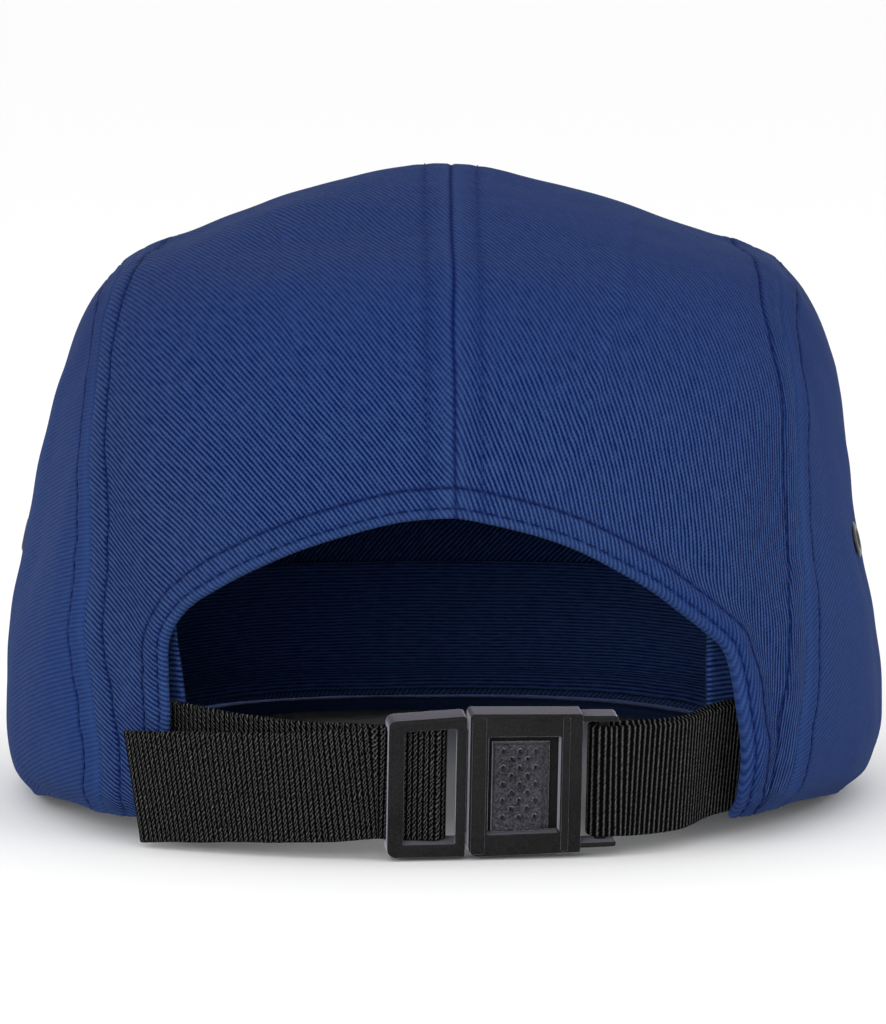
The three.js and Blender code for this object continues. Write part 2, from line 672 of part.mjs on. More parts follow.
// Webbing along a line of rows: a flat tape on edge, leaning as each row says.
function webbing(rows, steps) {
  const middle = route(rows.map((row) => row.point));
  const lengths = [0];
  rows.slice(1).forEach((row, i) => lengths.push(lengths[i] + row.point.distanceTo(rows[i].point)));
  const leanAt = (share) => {
    const at = share * lengths.at(-1);
    const i = Math.min(Math.max(lengths.findIndex((l) => l >= at), 1), rows.length - 1);
    const t = (at - lengths[i - 1]) / (lengths[i] - lengths[i - 1]);
    return rows[i - 1].lean + (rows[i].lean - rows[i - 1].lean) * t;
  };
  const faces = [[], []];
  for (let i = 0; i <= steps; i++) {
    const share = i / steps;
    const point = middle(share);
    const ahead = middle(Math.min(share + 0.002, 1)).sub(middle(Math.max(share - 0.002, 0))).normalize();
    const lean = leanAt(share) * degrees;
    const away = new THREE.Vector3(Math.sin(CLIP.yaw * degrees), -Math.cos(CLIP.yaw * degrees), 0);
    const up = away.multiplyScalar(Math.sin(lean)).setZ(Math.cos(lean));
    up.addScaledVector(ahead, -up.dot(ahead)).normalize();
    const through = ahead.clone().cross(up);
    faces.forEach((face, k) => {
      const side = point.clone().addScaledVector(through, (k - 0.5) * WEBBING.thickness);
      face.push([-0.5, 0.5].map((w) => side.clone().addScaledVector(up, w * WEBBING.width)));
    });
  }
  return wall(...faces);
}

function strapLeft() {
  const rows = [
    ...TAPE_LEFT.inner.map(onCap),
    ...TAPE_LEFT.innerAtClip.map(onClip),
    ...roundBar(STRAP_BAR, -1).reverse(),
    ...TAPE_LEFT.outerAtClip.map(onClip),
    ...TAPE_LEFT.outer.map(onCap),
  ];
  return webbing(rows, 54);
}

function strapRight() {
  const rows = [
    ...TAPE_RIGHT.outer.map(onCap),
    ...TAPE_RIGHT.outerAtClip.map(onClip),
    ...roundBar(END_BAR, 1),
    ...TAPE_RIGHT.innerAtClip.map(onClip),
    ...TAPE_RIGHT.inner.map(onCap),
  ];
  return webbing(rows, 44);
}

const cap = new THREE.Group();
const twill = () => material(BLUE, 0.85, 0);

function add(name, geometry, finish, group = cap) {
  const mesh = new THREE.Mesh(geometry, finish);
  mesh.name = name;
  group.add(mesh);
  return mesh;
}

add("front_panel", frontPanel(), twill());
for (const side of ["left", "right"]) {
  add("side_panel_" + side, sidePanel(side), twill());
  add("top_panel_" + side, topPanel(side), twill());
}
add("peak", peak(), twill());
add("sweatband", sweatband(), twill());
for (const { name, ring, bearing } of EYELETS) {
  const spot = place({ ring, bearing });
  const eyelet = add(name, eyeletGeometry(), material(BLACK, 0.35, 0.8));
  eyelet.position.copy(crownPoint(spot));
  eyelet.quaternion.copy(turnTo(crownNormal(spot)));
}
add("strap_left", strapLeft(), material(BLACK, 0.7, 0));
add("strap_right", strapRight(), material(BLACK, 0.7, 0));
add("buckle_left", buckleLeft(), material(BLACK, 0.5, 0), clip);
add("buckle_right", buckleRight(), material(BLACK, 0.5, 0), clip);
add("release_button", releaseButton(), material(BLACK, 0.55, 0), clip);
cap.add(clip);

// The origin is at the middle of the box's underside.
const box = new THREE.Box3().setFromObject(cap, true);
const middle = box.getCenter(new THREE.Vector3());
cap.position.set(-middle.x, -middle.y, -box.min.z);

export default cap;
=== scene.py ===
"""The looks of a blue twill jockey cap, seen from behind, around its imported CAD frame."""

import math

import bmesh
import bpy
import numpy as np
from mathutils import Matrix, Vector


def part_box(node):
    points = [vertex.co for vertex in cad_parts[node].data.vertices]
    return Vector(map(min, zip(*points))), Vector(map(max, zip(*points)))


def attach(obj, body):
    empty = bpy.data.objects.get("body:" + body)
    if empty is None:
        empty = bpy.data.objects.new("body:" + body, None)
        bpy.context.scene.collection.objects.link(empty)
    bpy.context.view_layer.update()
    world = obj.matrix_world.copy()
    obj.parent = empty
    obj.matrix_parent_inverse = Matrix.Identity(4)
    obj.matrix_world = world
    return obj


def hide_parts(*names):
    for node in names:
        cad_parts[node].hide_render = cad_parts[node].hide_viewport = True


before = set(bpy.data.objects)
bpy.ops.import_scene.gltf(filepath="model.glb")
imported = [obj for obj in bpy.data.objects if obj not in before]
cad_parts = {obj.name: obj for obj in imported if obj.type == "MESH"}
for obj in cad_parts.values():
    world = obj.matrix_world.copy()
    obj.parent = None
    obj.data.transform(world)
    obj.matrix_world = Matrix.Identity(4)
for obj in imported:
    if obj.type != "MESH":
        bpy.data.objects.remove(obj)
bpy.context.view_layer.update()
MM = 0.001

# Lengths below are in millimetres, in the crown's own frame, as in the CAD part.
PEAK_FRONT = 163.0
PEAK_LOW, PEAK_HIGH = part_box("peak")
SHIFT = Vector(((PEAK_LOW.x + PEAK_HIGH.x) / 2, PEAK_HIGH.y - PEAK_FRONT * MM, 0.0))

# Camera, by the photograph: how far it looks down, its distance and the scale at its target
VIEW = {"elevation": 6.0, "distance": 1400.0, "height": 57.0, "pixels_per_mm": 4.9, "pixels_high": 1024}

# The crown's level sections: ring 0 is the apex and 1 the rim
# ring, height, side, back, front, square, shift
CROWN = np.array([
    (0.0, 127.7, 0.0, 0.0, 0.0, 2.0, -0.4),
    (0.17, 122.6, 28.2, 30.0, 33.0, 2.05, -0.5),
    (0.31, 114.4, 51.0, 51.5, 58.0, 2.15, 1.0),
    (0.38, 108.4, 65.6, 63.0, 70.0, 2.25, 1.5),
    (0.44, 100.4, 73.0, 71.5, 78.5, 2.3, 1.5),
    (0.51, 88.0, 78.0, 80.0, 85.0, 2.3, 1.7),
    (0.59, 73.0, 81.2, 87.0, 89.5, 2.25, 0.7),
    (0.68, 57.0, 83.6, 91.5, 93.0, 2.25, 0.0),
    (0.73, 48.5, 85.4, 94.0, 94.5, 2.25, 0.0),
    (0.8, 36.0, 88.0, 96.5, 96.0, 2.25, 0.0),
    (0.91, 16.0, 89.2, 98.0, 97.5, 2.25, 0.0),
    (0.965, 5.5, 87.0, 96.5, 96.5, 2.25, -0.7),
    (1.0, 0.0, 82.8, 93.0, 94.0, 2.25, -1.4),
])
BACK_LIFT = {"rise": 4.2, "from": 5.0, "over": -65.0}
FRONT_LIFT = {"rise": 7.0, "from": 15.0, "over": 80.0}
LIFT_FADES_AT = 60.0

# Lines on the crown: ring, and bearing in degrees with 0 right, 90 front and -90 back
ARCH = {
    "left": [
        (1.0, -127.0), (0.955, -125.0), (0.878, -124.2), (0.821, -124.8), (0.778, -125.1), (0.747, -123.2),
        (0.717, -118.3), (0.684, -110.9), (0.654, -101.5), (0.636, -93.5), (0.633, -89.0),
    ],
    "right": [
        (1.0, -48.3), (0.955, -50.8), (0.867, -52.6), (0.831, -53.0), (0.794, -54.1), (0.772, -56.6),
        (0.741, -61.0), (0.714, -65.0), (0.681, -71.4), (0.646, -82.5), (0.633, -89.0),
    ],
}
SIDE_SEAM = {
    "left": [
        (1.0, -138.5), (0.935, -136.3), (0.86, -138.0), (0.78, -141.0), (0.7, -142.4), (0.545, -150.2),
        (0.46, -156.1), (0.412, -162.2), (0.381, -174.4), (0.368, -186.7), (0.372, -201.5),
        (0.392, -215.1), (0.425, -225.5),
    ],
    "right": [
        (1.0, -40.5), (0.907, -42.0), (0.826, -39.6), (0.746, -37.0), (0.706, -35.4), (0.554, -34.2),
        (0.461, -30.5), (0.415, -23.0), (0.384, -11.5), (0.368, 2.5), (0.37, 19.0), (0.392, 35.1),
        (0.425, 45.5),
    ],
}
MID_SEAM = [
    (0.633, -89.0), (0.51, -89.8), (0.31, -89.3), (0.17, -86.0), (0.05, -76.0), (0.17, 86.0), (0.333, 90.0),
]
FRONT_SEAM = {"left": [(1.0, 149.0), (0.8, 147.0), (0.6, 143.0), (0.48, 138.5), (0.425, 134.5)]}
FRONT_SEAM["right"] = [(ring, 180 - bearing) for ring, bearing in FRONT_SEAM["left"]]
FRONT_SEAM_TOP = [(0.425, 134.5), (0.361, 115.7), (0.333, 90.0), (0.361, 64.3), (0.425, 45.5)]
REAR_SHARE = 0.52
OUTSIDE_FACETS = (14, 18, 7)  # rear seam, shoulder, half of the front seam

# The clip's own frame: x along it from its left end, y up its front face, z out of it
CLIP = {"left": -10.4, "back": -99.4, "mid": 14.6, "lean": 8.0, "yaw": 7.5, "height": 28.4, "depth": 6.4}
HALF = CLIP["height"] / 2
STRAP_BAR = {"from": 8.0, "to": 10.0, "front": -2.7, "back": -4.5}
END_BAR = {"from": 40.3, "to": 42.9, "front": -2.7, "back": -4.9}
WEBBING = {
    "width": 22.2, "thickness": 1.3, "gap": 0.3, "rib": 1.07, "rib_depth": 0.2, "rib_roundness": 0.8,
    "link": 1.9, "selvedge": 1.2,
}
EDGE_WANDER = ((0.1, 9.0, 0.0), (0.07, 2.3, 1.0))  # of the webbing's edges: size, length and start

# The clip's plates. An outline is from, to, low, high and the radii of its corners, from the lower left on.
FRAME = {
    "outer": (0.0, 15.0, 0.1 - HALF, HALF - 0.4, (1.7, 0.5, 0.7, 1.3)),
    "inner": (3.0, 13.0, -11.5, 11.5, (0.1, 0.4, 0.4, 0.1)),
    "bevel": 0.5, "opening_bevel": 0.3, "draft": 1.0, "lip": {"across": 11.3, "back": -2.2},
}
FRAME_TAPER = {"start": 15.0, "low": 0.0, "high": -0.0042}
BODY = {
    "outer": (15.6, 37.3, -HALF, HALF, (2.0, 0.4, 0.4, 0.8)),
    "inner": (19.2, 33.1, -9.9, 9.7, (0.3, 0.3, 0.3, 0.3)),
    "floor": -3.3, "bevel": 0.4,
}
BODY_TAPER = {"start": 15.6, "low": 0.002, "high": 0.0012}
# Blocks: from, to, low, high, back, front, bevel and radii
TONGUE = (13.6, 34.6, -10.2, 10.2, -5.6, -3.4)
RIDGES = (
    (16.0, 18.7, 0.6 - HALF, HALF - 0.6, -1.0, 0.45, 0.35),
    (33.4, 34.8, 0.4 - HALF, HALF - 0.4, -1.0, 0.45, 0.3),
)
ARMS = (
    (36.9, 44.2, 12.7, 13.8, -5.6, -0.3, 0.3, (0.2, 0.2, 0.8, 0.2)),
    (36.9, 44.2, -13.4, -12.4, -5.6, -0.3, 0.3, (0.2, 0.6, 0.2, 0.2)),
)
STRAP_BAR_REACH = (1.2 - HALF, HALF - 1.2)
END_BAR_REACH = (-12.9, 13.2)

# The grip pad. Its dimples are in columns from its left, with drops from its top.
PAD = {"left": 20.2, "right": 31.2, "low": -9.6, "high": 8.1, "face": -0.75, "back": -3.0, "crown": 0.35}
PAD_EDGE = 1.0
PAD_SLANT = {"drop": 0.5, "in": 1.9, "over": 1.2}
COLUMNS = (2.0, 3.64, 5.17, 6.7, 8.24)
DROPS = ((1.6, 4.9, 8.2, 11.5, 14.9), (3.2, 6.5, 9.9, 13.2))
DIMPLE = {"depth": 1.5, "width": 0.52, "squash": 0.85, "lip": 0.14, "lip_at": 0.75, "lip_width": 0.25}

# The straps' middle lines, from hem to bar and back
# On the cap: x, y, z and lean. At the clip: along and out.
TAPE_LEFT = {
    "inner": [
        (-58.2, -71.5, 17.9, 5), (-53.3, -75.9, 17.6, 6), (-45.0, -82.8, 16.9, 8), (-35.0, -88.4, 16.2, 9),
        (-24.0, -92.1, 15.7, 9),
    ],
    "inner_at_clip": [(0.0, -5.6), (4.0, -5.6)],
    "outer_at_clip": [(4.2, -2.9), (1.5, -3.4), (-2.5, -3.6)],
    "outer": [
        (-25.0, -94.9, 14.1, 9), (-38.0, -90.9, 13.5, 11), (-48.0, -86.4, 12.9, 12), (-54.2, -83.1, 12.5, 12),
        (-58.5, -80.1, 12.1, 12), (-59.8, -79.1, 12.0, 12),
    ],
}
TAPE_RIGHT = {
    "outer": [
        (58.4, -68.1, 16.8, 13), (55.2, -71.5, 16.5, 13), (50.9, -76.9, 16.0, 13), (45.0, -85.6, 15.1, 10),
    ],
    "outer_at_clip": [(46.5, -2.2), (43.0, -1.75)],
    "inner_at_clip": [(43.0, -5.85), (46.5, -5.7)],
    "inner": [
        (45.0, -83.0, 15.4, 10), (50.8, -74.5, 16.5, 13), (55.2, -69.3, 17.0, 13), (58.4, -65.9, 17.1, 13),
    ],
}

EYELETS = {"eyelet_left": (0.705, -179.0), "eyelet_right": (0.7, -10.9)}
EYELET_PROFILE = (  # radius and height over the cloth, once round
    (1.6, -2.4), (3.1, -2.4), (3.3, -2.2), (3.3, -2.0), (2.2, -1.9), (2.2, 0.2), (3.45, 0.22), (3.6, 0.35),
    (3.6, 0.5), (3.45, 0.68), (3.0, 0.85), (2.5, 0.87), (2.1, 0.75), (1.85, 0.5), (1.7, 0.2), (1.62, -0.3),
)
SWEATBAND = {
    "from": -52.0, "to": 235.5, "low": 0.998, "high": 0.81, "depth": 3.2, "thickness": 0.7, "bow": 0.5,
}
BAND_ENDS = {
    "right": {"at": -36.0, "over": -11.0, "in": 7.6, "up": 0.045, "slant": 2.4},
    "left": {"at": 216.0, "over": 12.0, "in": 5.2, "up": 0.055, "slant": -4.8},
}
PEAK = {
    "spread": 57.0, "tuck": 2.6, "half_width": 75.0, "back": 58.0, "front": 163.0, "roundness": 0.78,
    "thickness": 2.6, "edge_height": 6.2, "edge_droop": 3.5, "gap": 0.25, "rows": (3.0, 10.0, 17.0, 24.0),
    "turned_under": 12.0, "groove": 0.2, "groove_width": 0.5, "round_edge": 0.57, "lean": -50.0,
}
STITCH = {
    "length": 2.5, "spacing": 2.85, "radius": 0.15, "fullness": 1.05, "taper": 0.8, "rise": 0.1, "dive": 0.34,
}

# Cloth
CLOTH = 1.1  # a panel's thickness
HEM = 2.2  # thickness of the turned hem round the opening
HEM_WIDTH = 5.8
HEM_FADE = 1.5
EDGE_ROW = 1.8  # from the opening's edge to the stitches next to it
SEAM_WIDTH = 5.3  # from a seam to the topstitching beside it
CHART_SCALE = 190.0  # mm of cloth for each unit of the chart, about
# Each panel's grid, which way is right when facing it, and how far its twill leans in that view
UP = np.array([0.0, 0.0, 1.0])
PANELS = {
    "top_panel_left": ((190, 130), (1.0, 0.0, 0.0), -37.0),
    "top_panel_right": ((190, 130), (1.0, 0.0, 0.0), -86.0),
    "side_panel_left": ((140, 110), (0.0, -1.0, 0.0), 20.0),
    "side_panel_right": ((140, 110), (0.0, 1.0, 0.0), 20.0),
    "front_panel": ((140, 110), (-1.0, 0.0, 0.0), -45.0),
}

# Relief of the cloth: swells by height, wavelength and seed, and the raised strips beside stitching
SWELLS = ((0.45, 42, 3), (0.12, 14, 5))
BAND_SWELL, PEAK_SWELL = (0.25, 25, 8), (0.12, 30, 12)
INSIDE_SHARE = 0.4  # of what is raised outside
SEAM_STRIP = {
    "width": SEAM_WIDTH, "raised": 0.25, "fall": 1.2, "row": 0.4, "row_width": 0.5, "groove": 0.16,
    "groove_at": 0.0, "pucker": 0.2, "wave": 7.0, "reach": 2.6, "seed": 20,
}
MID_STRIP = {**SEAM_STRIP, "raised": 0.1, "row": 0.22, "row_width": 1.0, "groove": 0.3}
HEM_STRIP = {
    "width": HEM_WIDTH, "raised": 0.4, "fall": 0.9, "row": 0.4, "row_width": 0.5, "groove": 0.25,
    "groove_at": EDGE_ROW, "pucker": 0.18, "wave": 6.0, "reach": 2.4, "seed": 31,
}
ROW_MARGIN = 0.2
GROOVE_WIDTH = 0.45
RIM_ROLL = {"depth": 0.8, "width": 5.0, "fades_from": 20.0, "over": 30.0}
EYELET_DENT = {"depth": 1.0, "below": 5.0, "width": 5.0}
HEM_FOLD = {
    "length": 75.0, "fades_over": 30.0, "off_rim": 15.0, "rise": 0.9, "rise_at": 3.2, "rise_width": 2.4,
    "dip": 0.8, "dip_at": 10.0, "dip_width": 3.2,
}

# Where the cloth is pale with wear by its seams and rim, with painted highlight on the opening's folded edge
# and hem band; painted shade along its rows of stitches and folds; and painted shade with weaker painted
# twill highlights toward the top and on the right hem's fold
WEAR_AND_HIGHLIGHT = {"seam": 0.7, "hem": 0.3, "width": 1.2, "rim_width": 1.5}
CREASE_SHADE = {"row_width": 0.45, "edge_row": 0.6, "mid_row": 0.25, "mid_row_width": 0.9, "fold_width": 0.4}
PAINTED_DIMMING = {"from": 55.0, "over": 55.0, "top": 0.6, "right_hem": 0.5}

# The floor's half width, and the lights: place and size in metres, and power
FLOOR = 40000.0
SOFTBOXES = {"front": ((-0.4, -1.75, 0.45), (1.0, 0.7), 17), "fill": ((1.3, -1.0, 0.6), (1.0, 1.0), 4)}
SKY = 1.06

# Distances in from a patch's edges to its rows of points
EDGE_STEPS = np.array([
    0, 0.06, 0.18, 0.35, 0.6, 0.9, 1.3, 1.75, 2.3, 3.0, 3.8, 4.5, 4.95, 5.25, 5.55, 5.85, 6.2, 6.7, 7.4, 8.4,
])
EDGE_SHARE = 0.36  # the most of a length that they take up at each end


def ease(share):
    """A smooth step from 0 to 1."""
    t = np.clip(share, 0, 1)
    return t * t * (3 - 2 * t)


def bell(distance, width):
    return np.exp(-((distance / width) ** 2))


def smooth(knots, values, at):
    """A smooth curve through rows of values at given knots."""
    at = np.asarray(at, float)
    i = np.clip(np.searchsorted(knots, at, side="right") - 1, 1, len(knots) - 3)
    x0, x1, x2, x3 = (knots[i + k] for k in (-1, 0, 1, 2))
    y0, y1, y2, y3 = (values[i + k] for k in (-1, 0, 1, 2))
    span = (x2 - x1)[..., None]
    t = (at - x1)[..., None] / span
    slope_in = (y2 - y0) / (x2 - x0)[..., None] * span
    slope_out = (y3 - y1) / (x3 - x1)[..., None] * span
    return (
        (2 * t**3 - 3 * t**2 + 1) * y1
        + (t**3 - 2 * t**2 + t) * slope_in
        + (3 * t**2 - 2 * t**3) * y2
        + (t**3 - t**2) * slope_out
    )


MIRRORED = CROWN[1] * np.array([-1, 1, -1, -1, -1, 1, 1])
SECTIONS = np.vstack([MIRRORED, CROWN, 2 * CROWN[-1] - CROWN[-2]])


def on_chart(ring, bearing):
    """Spots on the crown's chart, a disk whose centre is the apex, from rings and bearings in degrees."""
    return np.stack([ring * np.cos(np.radians(bearing)), ring * np.sin(np.radians(bearing))], -1)


def place(rows):
    return on_chart(*np.array(rows, float).T)


def crown(spots):
    """The crown's outer surface over its chart."""
    angle = np.arctan2(spots[..., 1], spots[..., 0])
    row = smooth(SECTIONS[:, 0], SECTIONS, np.hypot(spots[..., 0], spots[..., 1]))
    height, side, back, front, square, shift = (row[..., k] for k in range(1, 7))
    c, s = np.cos(angle), np.sin(angle)
    x = shift + side * np.sign(c) * np.abs(c) ** (2 / square)
    y = np.where(s < 0, back, front) * np.sign(s) * np.abs(s) ** (2 / square)
    lift = sum(k["rise"] * ease((y - k["from"]) / k["over"]) for k in (BACK_LIFT, FRONT_LIFT))
    return np.stack([x, y, height + lift * ease(1 - height / LIFT_FADES_AT)], -1)


def unit(vectors):
    return vectors / np.maximum(np.linalg.norm(vectors, axis=-1, keepdims=True), 1e-12)


def slopes(spots, step=0.004):
    """The crown's two tangents, per unit of its chart, and its normal."""
    east, north = np.array([step, 0.0]), np.array([0.0, step])
    along_x = (crown(spots + east) - crown(spots - east)) / (2 * step)
    along_y = (crown(spots + north) - crown(spots - north)) / (2 * step)
    return along_x, along_y, unit(np.cross(along_x, along_y))


def lengths_of(points):
    return np.concatenate([[0], np.cumsum(np.linalg.norm(np.diff(points, axis=0), axis=1))])


def route(points):
    """A smooth line through points, as a function of the share of its length."""
    knots = lengths_of(points)
    padded = np.vstack([2 * points[0] - points[1], points, 2 * points[-1] - points[-2]])
    spread = np.concatenate([[-knots[1]], knots, [2 * knots[-1] - knots[-2]]])
    return lambda share: smooth(spread, padded, np.asarray(share) * knots[-1])


def line(rows):
    return route(place(rows))


def part(curve, start, end):
    """A stretch of a curve by shares of its length, backwards if it ends before it starts."""
    return lambda share: curve(start + (end - start) * np.asarray(share))


def chain(curves, weights):
    """Curves end to end, each by its weight."""
    starts = np.cumsum([0, *weights])

    def curve(share):
        at = np.asarray(share, float) * starts[-1]
        points = curves[0](np.clip(at / weights[0], 0, 1))
        for link, weight, start in zip(curves[1:], weights[1:], starts[1:]):
            on_link = (at >= start - 1e-9)[..., None]
            points = np.where(on_link, link(np.clip((at - start) / weight, 0, 1)), points)
        return points

    return curve


def rim(start, end, turn=0):
    """The rim from one line's first row to another's, which may lie past a turn of so many degrees."""
    return lambda share: on_chart(1.0, start[1] + (end[1] + turn - start[1]) * np.asarray(share, float))


def between(low, high, start, end):
    """Fills the space between four lines. low and high run from start to end."""
    corners = [low(0.0), low(1.0), high(0.0), high(1.0)]

    def patch(p, q):
        a, b = p[..., None], q[..., None]
        spot = low(p) * (1 - b) + high(p) * b + start(q) * (1 - a) + end(q) * a
        spot = spot - corners[0] * (1 - a) * (1 - b) - corners[1] * a * (1 - b)
        return spot - corners[2] * (1 - a) * b - corners[3] * a * b

    return patch


arch, side_seam, front_seam = (
    {side: line(rows) for side, rows in table.items()} for table in (ARCH, SIDE_SEAM, FRONT_SEAM))
front_top = line(FRONT_SEAM_TOP)
mid_seam = line(MID_SEAM)


def at_lengths(at, along, values):
    """Rows of values at places along a line."""
    return np.stack([np.interp(at, along, column) for column in values.T], -1)


def evenly(points, spacing):
    """The same line with its points a given distance apart."""
    along = lengths_of(points)
    at = np.linspace(0, along[-1], max(int(round(along[-1] / spacing)), 1) + 1)
    return at_lengths(at, along, points)


def spots_along(curve, count=400):
    return curve(np.linspace(0, 1, count))


SEAMS = {
    "side_left": side_seam["left"], "side_right": side_seam["right"], "mid": mid_seam,
    "front_left": front_seam["left"], "front_right": front_seam["right"], "front_top": front_top,
}
EDGES = {name: spots_along(seam) for name, seam in SEAMS.items()}
EDGES["arch"] = np.vstack([spots_along(arch["left"]), spots_along(part(arch["right"], 1.0, 0.0))[1:]])
EDGES["rim"] = spots_along(rim(ARCH["right"][0], ARCH["left"][0], 360), 800)
EDGE_LINES = {name: evenly(crown(spots), 1.0) for name, spots in EDGES.items()}
ARCH_LENGTH = lengths_of(EDGE_LINES["arch"])[-1]


def to_line(points, way):
    """Distance from points to a line, and where along it, in mm."""
    flat = points.reshape(-1, 3)
    squares = (flat**2).sum(1)[:, None] - 2 * flat @ way.T + (way**2).sum(1)
    nearest = squares.argmin(1)
    steps = lengths_of(way)
    best, where = np.full(len(flat), 1e9), np.zeros(len(flat))
    for back in (0, 1):
        i = np.clip(nearest - back, 0, len(way) - 2)
        step = way[i + 1] - way[i]
        t = np.clip(((flat - way[i]) * step).sum(1) / (step**2).sum(1), 0, 1)
        gap = np.linalg.norm(flat - way[i] - t[:, None] * step, axis=1)
        where = np.where(gap < best, steps[i] + t * (steps[i + 1] - steps[i]), where)
        best = np.minimum(best, gap)
    return best.reshape(points.shape[:-1]), where.reshape(points.shape[:-1])


def ripple(points, wavelength, seed, waves=9, spread_of_waves=3.4):
    """A smooth random field, about -1 to 1, of waves in seeded directions."""
    random = np.random.default_rng(seed)
    total = np.zeros(points.shape[:-1])
    for _ in range(waves):
        way = unit(random.normal(size=3)) * 2 * math.pi / (wavelength * random.uniform(0.7, 1.4))
        total += np.sin(points @ way + random.uniform(0, 2 * math.pi))
    return total / spread_of_waves


def swell(points, form):
    height, wavelength, seed = form
    return height * ripple(points, wavelength, seed)


def strip(gap, along, form, seed):
    """The raised strip beside an edge or seam, with its groove, its row of stitches and its puckers."""
    past_row = gap - form["width"]
    pucker = ripple(np.stack([along, 0 * along, 0 * along], -1), form["wave"], seed)
    out = form["raised"] * (1 - ease((past_row - ROW_MARGIN) / form["fall"]))
    out -= form["groove"] * bell(gap - form["groove_at"], GROOVE_WIDTH)
    out -= form["row"] * bell(past_row, form["row_width"])
    return out + form["pucker"] * pucker * bell(past_row, form["reach"])


def on_right(arch_along):
    """1 where the opening's edge is on its folded right side, by the way along it, else 0."""
    return ease((arch_along - ARCH_LENGTH + HEM_FOLD["length"]) / HEM_FOLD["fades_over"])


def relief(points):
    """How far the cloth stands out of the crown's plain surface, and the distances to its lines."""
    near = {name: to_line(points, way) for name, way in EDGE_LINES.items()}
    out = sum(swell(points, form) for form in SWELLS)
    for k, name in enumerate(SEAMS):
        form = MID_STRIP if name == "mid" else SEAM_STRIP
        out += strip(*near[name], form, form["seed"] + k)
    out += strip(*near["arch"], HEM_STRIP, HEM_STRIP["seed"])
    rim_gap = near["rim"][0]
    rolled = 1 - ease((points[..., 1] - RIM_ROLL["fades_from"]) / RIM_ROLL["over"])
    out -= RIM_ROLL["depth"] * rolled * bell(rim_gap, RIM_ROLL["width"])
    for spot in EYELETS.values():
        centre = crown(place([spot]))[0] - np.array([0, 0, EYELET_DENT["below"]])
        out -= EYELET_DENT["depth"] * bell(np.linalg.norm(points - centre, axis=-1), EYELET_DENT["width"])
    gap, along = near["arch"]
    fold = HEM_FOLD["rise"] * bell(gap - HEM_FOLD["rise_at"], HEM_FOLD["rise_width"])
    fold -= HEM_FOLD["dip"] * bell(gap - HEM_FOLD["dip_at"], HEM_FOLD["dip_width"])
    return out + on_right(along) * ease(rim_gap / HEM_FOLD["off_rim"]) * fold, near


def hem_share(arch_gap):
    return 1 - ease((arch_gap - HEM_WIDTH) / HEM_FADE)


def wear_and_painted_light(near, height):
    """How worn the cloth is, where highlight is painted on its hem and shade along its stitching, folds and
    top, by its distances to lines and its height.
    """
    seam = np.min([near[k][0] for k in SEAMS], axis=0)
    hard_seam = np.min([near[k][0] for k in SEAMS if k != "mid"], axis=0)
    mid_gap = near["mid"][0]
    arch_gap, arch_along = near["arch"]
    hem = hem_share(arch_gap)
    # Paler with wear by the seams and rim; the paleness at the opening's folded edge and over the hem band is
    # painted highlight.
    wear_and_highlight = WEAR_AND_HIGHLIGHT["seam"] * bell(seam - WEAR_AND_HIGHLIGHT["width"], WEAR_AND_HIGHLIGHT["width"]) + bell(arch_gap, WEAR_AND_HIGHLIGHT["width"])
    wear_and_highlight += WEAR_AND_HIGHLIGHT["hem"] * hem + bell(near["rim"][0], WEAR_AND_HIGHLIGHT["rim_width"])
    # Painted shade along the rows of stitches and the folds of the seams and hem, where the cloth dips.
    crease_shade = sum(bell(gap, CREASE_SHADE["row_width"]) for gap in (hard_seam - SEAM_WIDTH, arch_gap - HEM_WIDTH))
    crease_shade += CREASE_SHADE["edge_row"] * bell(arch_gap - EDGE_ROW, CREASE_SHADE["fold_width"])
    crease_shade += CREASE_SHADE["mid_row"] * bell(mid_gap - SEAM_WIDTH, CREASE_SHADE["mid_row_width"])
    crease_shade += bell(mid_gap, CREASE_SHADE["fold_width"])
    # Painted shade and weaker painted twill highlights toward the top and on the right hem's fold.
    top = PAINTED_DIMMING["top"] * ease((height - PAINTED_DIMMING["from"]) / PAINTED_DIMMING["over"])
    painted_dimming = np.maximum(top, PAINTED_DIMMING["right_hem"] * on_right(arch_along) * hem)
    return {"wear_and_highlight": wear_and_highlight, "crease_shade": crease_shade, "painted_dimming": painted_dimming}


def hem_rounding(gap, thickness):
    """How far a folded edge of this thickness draws in near its fold."""
    radius = thickness / 2
    inside = np.clip(1 - gap / radius, 0, 1)
    return radius * (1 - np.sqrt(1 - inside**2))


def spread(count, length):
    """Shares of a length, close together in the last few mm at both ends."""
    edge = EDGE_STEPS * min(1, EDGE_SHARE * length / EDGE_STEPS[-1])
    middle = np.linspace(edge[-1], length - edge[-1], count - 2 * (len(edge) - 1) + 1)
    return np.concatenate([edge[:-1], middle, (length - edge[:-1])[::-1]]) / length


def fine_grid(patch, across, up):
    """Spots of a patch with their two shares, in rows of `across` + 1, `up` + 1 of them."""
    fine = np.linspace(0, 1, 60)
    share_p, share_q = np.linspace(0, 1, across + 1), np.linspace(0, 1, up + 1)
    rows = crown(patch(*np.meshgrid(fine, share_q)))
    columns = crown(patch(*np.meshgrid(share_p, fine)))
    row_lengths = np.linalg.norm(np.diff(rows, axis=1), axis=-1).sum(1)
    column_lengths = np.linalg.norm(np.diff(columns, axis=0), axis=-1).sum(0)
    p = np.array([spread(across, length) for length in row_lengths])
    q = np.array([spread(up, length) for length in column_lengths]).T
    return p, q, patch(p, q)


